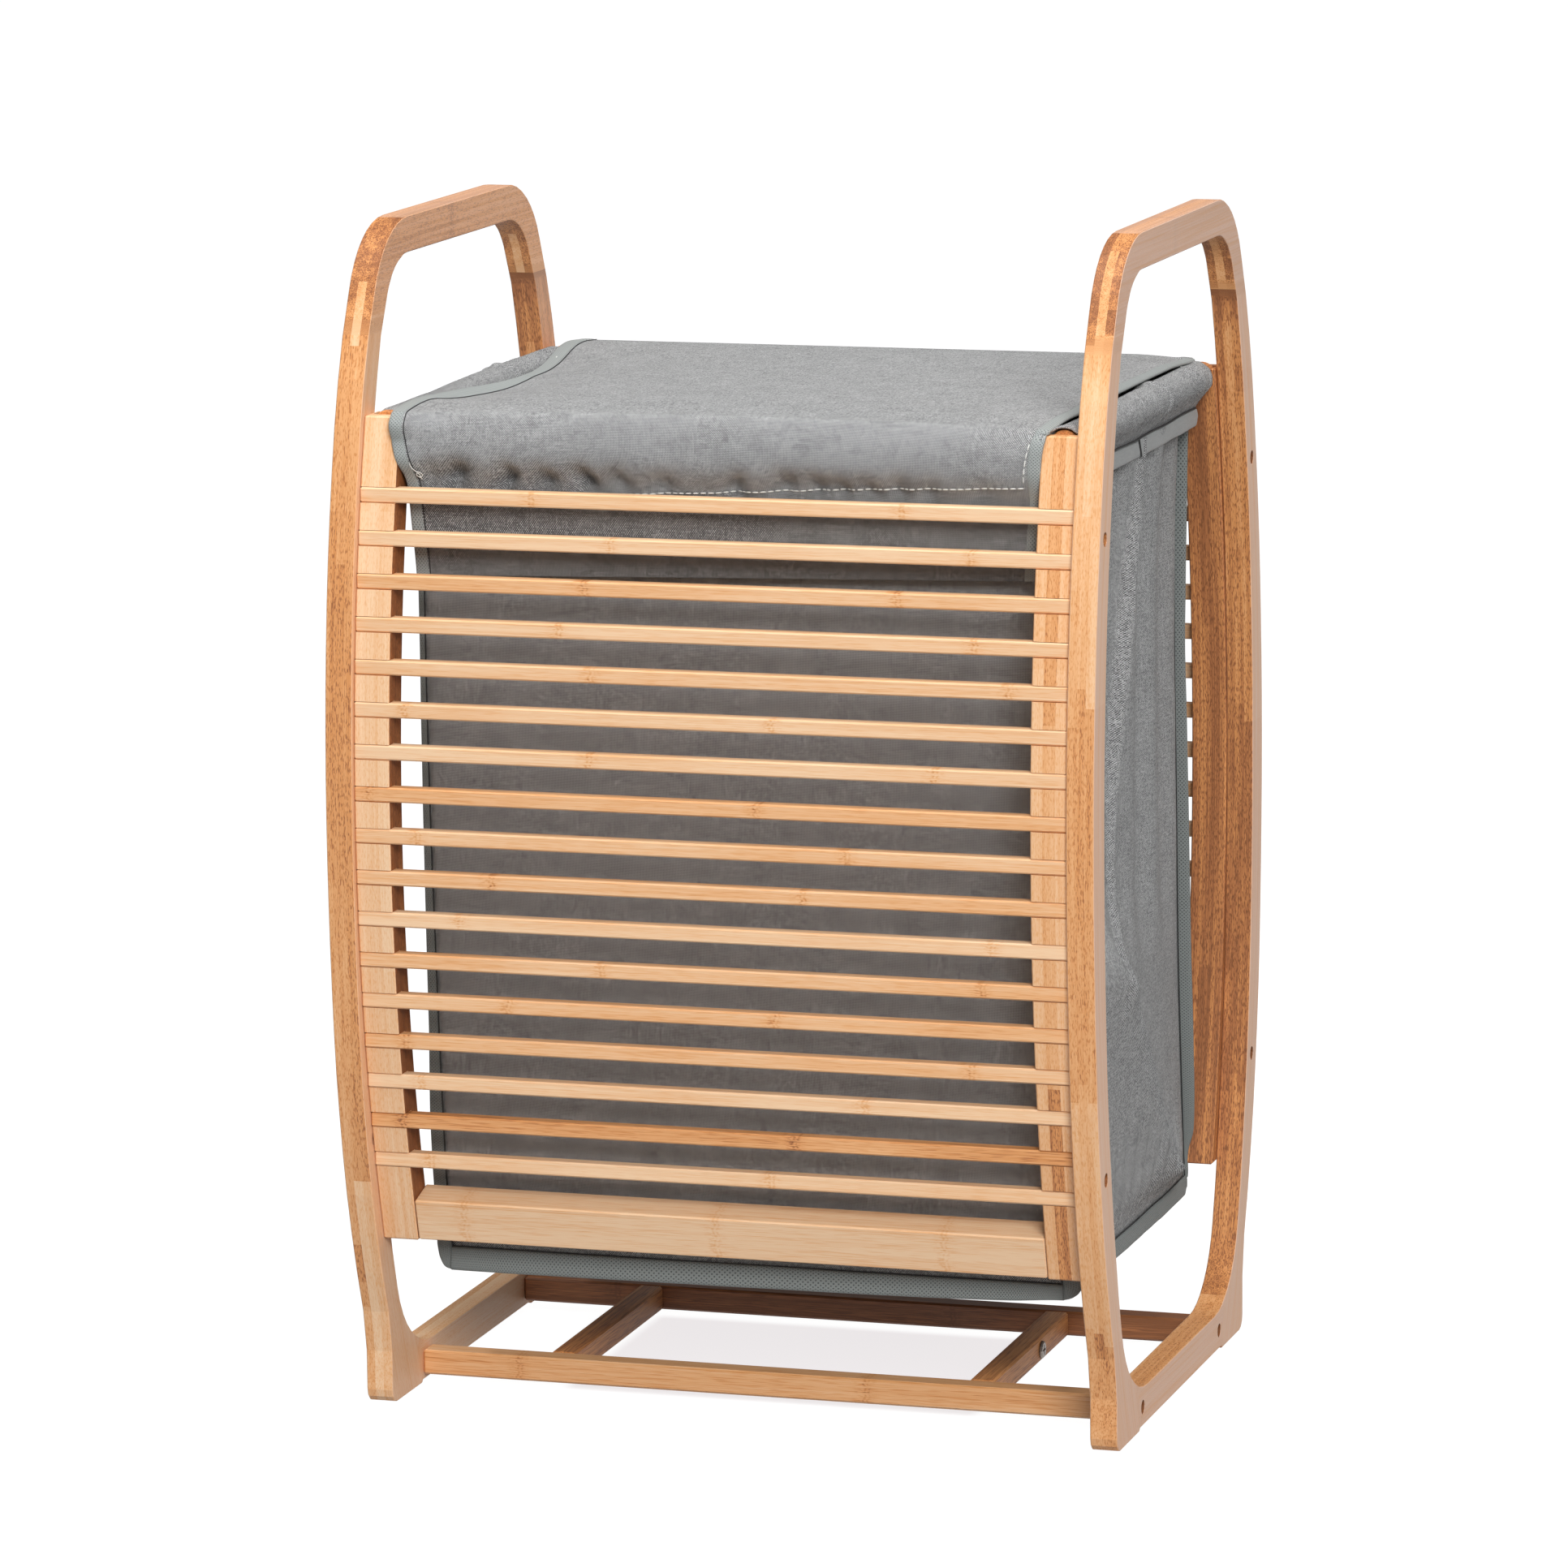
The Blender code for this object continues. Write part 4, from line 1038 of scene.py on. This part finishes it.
WALL_THICK = 0.0009
bag = rolled("bag_walls", 309, 100, (BAG_GIRTH, BAG_TALL), bag_point, capped=False)
thicken(bag, WALL_THICK)
dress(bag, cloth_finish, "bag")
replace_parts(bag, "bag_body")

# %% [markdown]
# ## The bag's floor
# The floor is a sheet of its own, sewn in at the bottom seam. It sags a little in the middle, and its edges
# lie just above the seam line.

# %% Lay the floor
FLOOR_FLAT, FLOOR_THICK, FLOOR_SAG = (0.346, 0.264), 0.0012, 0.004


def floor_point(u, v):
    left, right, depth = (curve(seam_at, BAG_BOTTOM) for seam_at in (SEAM_LEFT, SEAM_RIGHT, SEAM_DEPTH))
    y = -depth * (1 - 2 * v) * 1.004
    x = -left + u * (left + right)
    sag = (1 - (2 * u - 1) ** 4) * (1 - (2 * v - 1) ** 4)
    return Vector((x, y, BAG_BOTTOM + 0.0006 - FLOOR_SAG * sag + 0.0008 * ripple(x, y, 1, 0.07) * sag))


floor_cloth = grid_sheet("bag_floor", 70, 54, FLOOR_FLAT, floor_point)
thicken(floor_cloth, FLOOR_THICK)
dress(floor_cloth, cloth_finish, "bag")

# %% [markdown]
# ## Bound seams at the corners
# Where two walls meet, their edges are held in a folded tape that stands out sideways like a fin. Its section
# is a flat loop with round ends, and its width changes with the height, as it does on the real bag.

# %% Bind the corners
FIN_THICK, FIN_TOP = 0.0021, 0.5235
FIN_WIDE = [(0.117, 0.0075), (0.163, 0.0088), (0.214, 0.0088), (0.34, 0.0080), (0.40, 0.0075), (0.51, 0.0093)]
FIN_NARROW = [(0.117, 0.008), (0.163, 0.0078), (0.214, 0.0062), (0.34, 0.0042), (0.46, 0.0036), (0.51, 0.006)]
FIN_LOW = {  # how wide each fin is at its lower end, where it rounds into the bottom binding
    "front_left": [
        (0.0762, 0.0008), (0.0770, 0.0036), (0.0785, 0.0056),
        (0.082, 0.0075), (0.085, 0.0083), (0.091, 0.0090),
    ],
    "front_right": [
        (0.0806, 0.0008), (0.0814, 0.0040), (0.0836, 0.0078),
        (0.086, 0.0098), (0.0888, 0.0109), (0.096, 0.0098),
    ],
    "back_left": [(0.0875, 0.0010), (0.0885, 0.0030), (0.103, 0.0040)],
    "back_right": [(0.0875, 0.0010), (0.0885, 0.0030), (0.103, 0.0038)],
}


def ring_section(u, wide, thick):
    """A flat loop with round ends: how far along its width, and how far off its middle."""
    angle = 2 * math.pi * u
    off = math.sin(angle)
    return wide * (0.5 - 0.5 * math.cos(angle)), thick / 2 * abs(off) ** 0.4 * (1 if off > 0 else -1)


def corner_fin(name, side, face):
    """A seam's binding, which stands out sideways from its corner, and the painted shadow line beside the
    wall.
    """
    edge = SEAM_RIGHT if side > 0 else SEAM_LEFT
    widths = FIN_LOW[name] + (FIN_NARROW if name == "front_left" else FIN_WIDE)
    low = widths[0][0]

    def place(u, v):
        z = low + (FIN_TOP - low) * v**1.6
        out, off = ring_section(u, curve(widths, z), FIN_THICK)
        y = curve(SEAM_DEPTH, z) + 0.0009 + 0.0005 * ripple(side, face, z, 0.03)
        return Vector((side * (curve(edge, z) + out - 0.0004), face * y + off, z))

    dress(rolled(f"corner_binding_{name}", 14, 150, (0.020, BAG_TALL), place), shaded_binding_finish, "bag")
    off_x, off_y = (0.0011, -0.0004) if face > 0 else (-0.0004, 0.0017)
    line = []
    for i in range(110):
        z = BAG_BOTTOM + 0.0005 + i * 0.004
        line.append(Vector((side * (curve(edge, z) + off_x), face * (curve(SEAM_DEPTH, z) + off_y), z)))
    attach(laid_thread(f"corner_seam_shadow_{name}", line, 0.0007, seam_shadow_finish), "bag")


for side, across in SIDES:
    for face, depth in ((-1, "front"), (1, "back")):
        corner_fin(f"{depth}_{across}", side, face)

# %% [markdown]
# ## The bottom binding
# The same tape binds the seam between the walls and the floor. It hangs straight down below the seam, curls
# out a little, and turns up at the bag's corners, with a thin line of painted shadow where it meets the wall.

# %% Bind the bottom
HEM_LOW = [(-0.17, 0.0762), (-0.032, 0.0767), (0.09, 0.0775), (0.15, 0.0788), (0.182, 0.0806)]
HEM_TOP, HEM_THICK, HEM_OUT = 0.0893, 0.0030, 0.0010


def hem_strip(name, wall):
    def place(u, v):
        t = 0.5 + 0.5 * math.sin(math.pi * (v - 0.5))
        base = bag_wall(wall, t, BAG_BOTTOM)
        low = curve(HEM_LOW, base.x)
        high = HEM_TOP + 0.0004 * ripple(base.x, base.y, 2, 0.03)
        if wall in (1, 3):
            low += 0.0030 * (1 - step(min(t, 1 - t), 0.0, 0.03)) - 0.0010
        down, off = ring_section(u, high - low, HEM_THICK)
        curl = 0.0012 * step(down, 0.004, 0.012) + 0.0004 * ripple(base.x, base.y, 4, 0.02)
        return base + WALL_OUT[wall] * (off + HEM_OUT + curl) + Vector((0, 0, high - down - base.z))

    return dress(rolled(name, 16, 150, (0.026, 0.35), place), shaded_binding_finish, "bag")


hems = [hem_strip(f"bottom_binding_{part}", wall) for wall, part in enumerate(WALLS)]
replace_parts(hems[0], "bag_hem")
for wall, part in enumerate(WALLS):
    line = [bag_wall(wall, i / 90, BAG_BOTTOM + 0.0010) + WALL_OUT[wall] * HEM_OUT for i in range(91)]
    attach(laid_thread(f"bottom_seam_shadow_{part}", line, 0.0005, seam_shadow_finish), "bag")

# %% [markdown]
# ## Casings on the rods
# Each side's top edge is sewn round a rod. Above, the cloth lies close on the rod and gathers in fine ribs,
# with one fold near its middle. Below, its two layers come together in a seam, so the section is a drop.

# %% Sew the casings
ROD_X, ROD_Z, CASING = 0.1877, 0.5443, 0.0088
CASING_FRONT, CASING_BACK, LEFT_START = -0.1520, 0.1338, 0.004
CASING_THICK, RIB_LENGTH = 0.0007, 0.0046


def casing(name, side):
    front = CASING_FRONT if side > 0 else CASING_FRONT + LEFT_START

    def place(u, v):
        y = front + (CASING_BACK - front) * v
        angle = 2 * math.pi * u
        low = step(math.cos(angle), 0.25, 1.0)
        middle = 0.034 + 0.006 * math.sin(angle)
        fold = 0.0017 * hump(y - middle, 0.0030) - 0.0010 * hump(y - middle - 0.0048, 0.0016)
        turns = y * 2 * math.pi / RIB_LENGTH + 3 * ripple(y * 2, side, angle * 0.01, 0.02)
        close = (side < 0) * (1 - step(y, -0.08, -0.02))
        rib = 0.00036 * math.sin(turns) * (0.8 + ripple(y, side + 4, angle * 0.012, 0.03)) * (1 - 0.8 * close)
        hemmed = 0.0007 * side * (1 - step(min(y - front, CASING_BACK - y), 0.0030, 0.0045))
        uneven = 0.00035 * (1 + ripple(y, side, math.cos(angle), 0.03))
        radius = CASING - 0.0008 * close + (fold + rib + hemmed) * (1 - low) + uneven
        x, z = math.sin(angle) * radius, -math.cos(angle) * radius
        pull = 0.0082 + 0.0007 * ripple(y, side, 3, 0.05)
        x = x * (1 - 0.92 * low) - side * 0.0010 * low
        return Vector((side * ROD_X + x, y, ROD_Z + z - low * pull))

    piece = rolled(name, 40, 260, (0.076, CASING_BACK - front), place, capped=False)
    thicken(piece, CASING_THICK)
    return dress(piece, cloth_finish, "bag")


for side, across in SIDES:
    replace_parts(casing(f"rod_casing_{across}", side), f"rod_sleeve_{across}")

# %% [markdown]
# ## Tape under the casings
# A plain tape covers the seam below each casing, in two lengths that meet a little behind the middle with a
# slanting gap. A line of painted shadow lies above it, and another in the gap.

# %% Tape under the casings
TAPE_X, TAPE_TOP, TAPE_WIDE, TAPE_THICK = 0.1873, 0.5290, 0.0108, 0.0024
TAPE_PARTS = (("front", -0.132, 0.0048, 0.0), ("back", 0.0053, 0.1345, 0.0008))  # start, end and how far out
GAP_SLANT, TAPE_SAG, TAPE_SPAN = 0.0022, 0.0010, 0.14


def tape_arch(y):
    """How far the tape hangs below its ends."""
    return TAPE_SAG * math.cos(y / TAPE_SPAN * math.pi / 2)


def tape_strip(name, side, start, end, out):
    def place(u, v):
        y = start + (end - start) * v
        near = abs(y - (start if start < -0.1 else end))
        round_end = math.sqrt(max(0.02, 1 - (1 - min(1, near / 0.0035)) ** 2))
        y += GAP_SLANT * math.sin((ring_section(u, 1.0, 1.0)[0] - 0.5) * math.pi) * step(near, 0.09, 0.12)
        down, off = ring_section(u, TAPE_WIDE * round_end, TAPE_THICK)
        top = TAPE_TOP - tape_arch(y) - 0.0050 * (1 - round_end)
        fold = 0.0006 * ripple(y, side, down, 0.02)
        return Vector((side * (TAPE_X + out + fold) + off * side, y, top - down))

    return dress(rolled(name, 12, 70, (0.018, end - start), place), plain_finish, "bag")


for side, across in SIDES:
    for part, start, end, out in TAPE_PARTS:
        tape_strip(f"tape_{part}_{across}", side, start, end, out)
    line = []
    for i in range(59):
        y = -0.131 + i * 0.0045
        z = TAPE_TOP + 0.0002 - tape_arch(y) + 0.0003 * math.sin(i * 0.4)
        line.append(Vector((side * 0.1889, y, z)))
    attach(laid_thread(f"casing_seam_shadow_{across}", line, 0.0011, seam_shadow_finish), "bag")
    line = []
    for i in range(13):
        slant = GAP_SLANT * math.sin((i / 12 - 0.5) * math.pi)
        line.append(Vector((side * 0.1890, 0.0050 + slant, 0.5282 - TAPE_WIDE * i / 12)))
    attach(laid_thread(f"tape_gap_shadow_{across}", line, 0.0009, seam_shadow_finish), "bag")

# %% [markdown]
# ## Hinge strip at the back
# The lid's back edge is sewn to the bag's back wall. A strip of cloth goes over that edge and bends where the
# lid turns.

# %% Sew the hinge strip
STRIP = [  # length from the lid, depth and height
    (0.0, 0.1400, 0.5548), (0.005, 0.1446, 0.5545), (0.009, 0.1464, 0.5520),
    (0.016, 0.1450, 0.5465), (0.026, 0.1405, 0.5370), (0.038, 0.1374, 0.5250),
]
STRIP_Y = [(run, y) for run, y, z in STRIP]
STRIP_Z = [(run, z) for run, y, z in STRIP]
STRIP_LENGTH = STRIP[-1][0]


def hinge_point(u, v):
    run = (1 - v) * STRIP_LENGTH
    z = curve(STRIP_Z, run)
    half = 0.1760 + 0.0075 * step(z, 0.5503, 0.5513)
    return Vector(((2 * u - 1) * half, curve(STRIP_Y, run) + 0.0004 * ripple(u, 2, z, 0.05), z))


strip = grid_sheet("lid_back_strip", 90, 22, (0.356, STRIP_LENGTH), hinge_point)
thicken(strip, LID_THICK)
dress(strip, cloth_finish)
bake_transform(strip)
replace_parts(strip, "lid_hinge_strip")

# %% [markdown]
# ## Recessed screws
# Screws hold the stiles and the base rails to the side frames. Each head sits deep in its hole and has a sunk
# recess for the driver. One head is made from a cylinder by inset and extrude, and copied to twelve holes.

# %% Make one screw head
HEAD_RADIUS, HEAD_HEIGHT, HEAD_X = 0.0036, 0.0012, 0.2076

bpy.ops.object.select_all(action="DESELECT")
bpy.ops.mesh.primitive_cylinder_add(vertices=24, radius=HEAD_RADIUS, depth=HEAD_HEIGHT)
head = bpy.context.object
bpy.ops.object.mode_set(mode="EDIT")
bpy.ops.mesh.select_mode(type="FACE")
bpy.ops.mesh.select_all(action="DESELECT")
bpy.ops.object.mode_set(mode="OBJECT")
for face in head.data.polygons:
    face.select = face.normal.z > 0.9
bpy.ops.object.mode_set(mode="EDIT")
bpy.ops.mesh.inset(thickness=0.0005, depth=0.0003)
bpy.ops.mesh.inset(thickness=0.0012)
bpy.ops.mesh.extrude_region_move(TRANSFORM_OT_translate={"value": (0, 0, -0.0009)})
bpy.ops.transform.resize(value=(0.5, 0.5, 1))
bpy.ops.object.mode_set(mode="OBJECT")
print("screw head:", len(head.data.polygons), "faces")

# %% Set the screws
places = [(side, face * y, z) for side in (-1, 1) for face in (-1, 1) for y, z in SCREW_HOLES]
for count, (side, y, z) in enumerate(places, 1):
    name = f"ring_screw_{count:02d}"
    screw = bpy.data.objects.new(name, head.data.copy())
    screw.data.name = name
    bpy.context.scene.collection.objects.link(screw)
    turn = Matrix.Rotation(math.pi / 2 * side, 4, "Y")
    screw.data.transform(Matrix.Translation((side * HEAD_X, y, z)) @ turn)
    dress(screw, shaded_screw_steel, "frame")
bpy.data.objects.remove(head)

# %% [markdown]
# ## The studio
# The picture has a white ground and soft light from the front and above. The floor glows white to the camera,
# with a grey patch of shade under the base. A second plane, which the camera doesn't see, throws light up as
# a pale floor does. Two soft lamps model the slats, and a white world fills the rest.

# %% Lay the studio floor
FLOOR_SIZE = 30
SHADE_X, SHADE_Y = (0.112, 0.122), (0.078, 0.090)  # from where to where the shade under the base ends


def studio_plane(name, height, finish, low, high, **shown):
    """A large level plane whose grey wavers between two levels."""
    bpy.ops.mesh.primitive_plane_add(size=FLOOR_SIZE, location=(0, 0, height))
    plane = bpy.context.object
    plane.name = name
    x, y, z = finish.place()
    tone = finish.mix(finish.clouds(finish.point(x, y)), paint(low, low, low), paint(high, high, high))
    plane.data.materials.append(finish.surface(tone, 0.9 + z * 0.1, z, 0.0001, **shown))
    return plane


floor_finish = Finish("white_floor")
x, y, _ = floor_finish.place()
shade = (1 - floor_finish.ease(abs(x), *SHADE_X)) * (1 - floor_finish.ease(abs(y), *SHADE_Y))
glow = floor_finish.mix(shade, paint(252, 252, 252), paint(234, 230, 231))
shown = {"Specular IOR Level": 0.0, "Emission Color": glow, "Emission Strength": 1.0}
ground = studio_plane("studio_floor", 0, floor_finish, 108, 112, **shown)
ground.visible_diffuse = False
bounce = studio_plane("floor_bounce", -0.002, Finish("grey_bounce"), 204, 208)
bounce.visible_camera = bounce.visible_glossy = False

# %% Light the studio
WORLD_STRENGTH = 0.29

world = bpy.data.worlds.new("studio")
bpy.context.scene.world = world
world.use_nodes = True
world.node_tree.nodes["Background"].inputs["Color"].default_value = (1, 1, 1, 1)
world.node_tree.nodes["Background"].inputs["Strength"].default_value = WORLD_STRENGTH


def lamp(name, size, power, place, aim):
    data = bpy.data.lights.new(name, "AREA")
    data.shape, data.size, data.energy = "SQUARE", size, power
    made = bpy.data.objects.new(name, data)
    bpy.context.scene.collection.objects.link(made)
    made.location = place
    made.rotation_euler = (Vector(aim) - Vector(place)).to_track_quat("-Z", "Y").to_euler()
    print(name, power, "W at", place)


lamp("top_light", size=1.8, power=56, place=(0.0, -0.5, 3.0), aim=(0, 0, 0.4))
lamp("front_light", size=2.4, power=300, place=(2.7, -5.1, 3.3), aim=(0, 0, 0.3))
bpy.context.scene.view_settings.view_transform = "Standard"
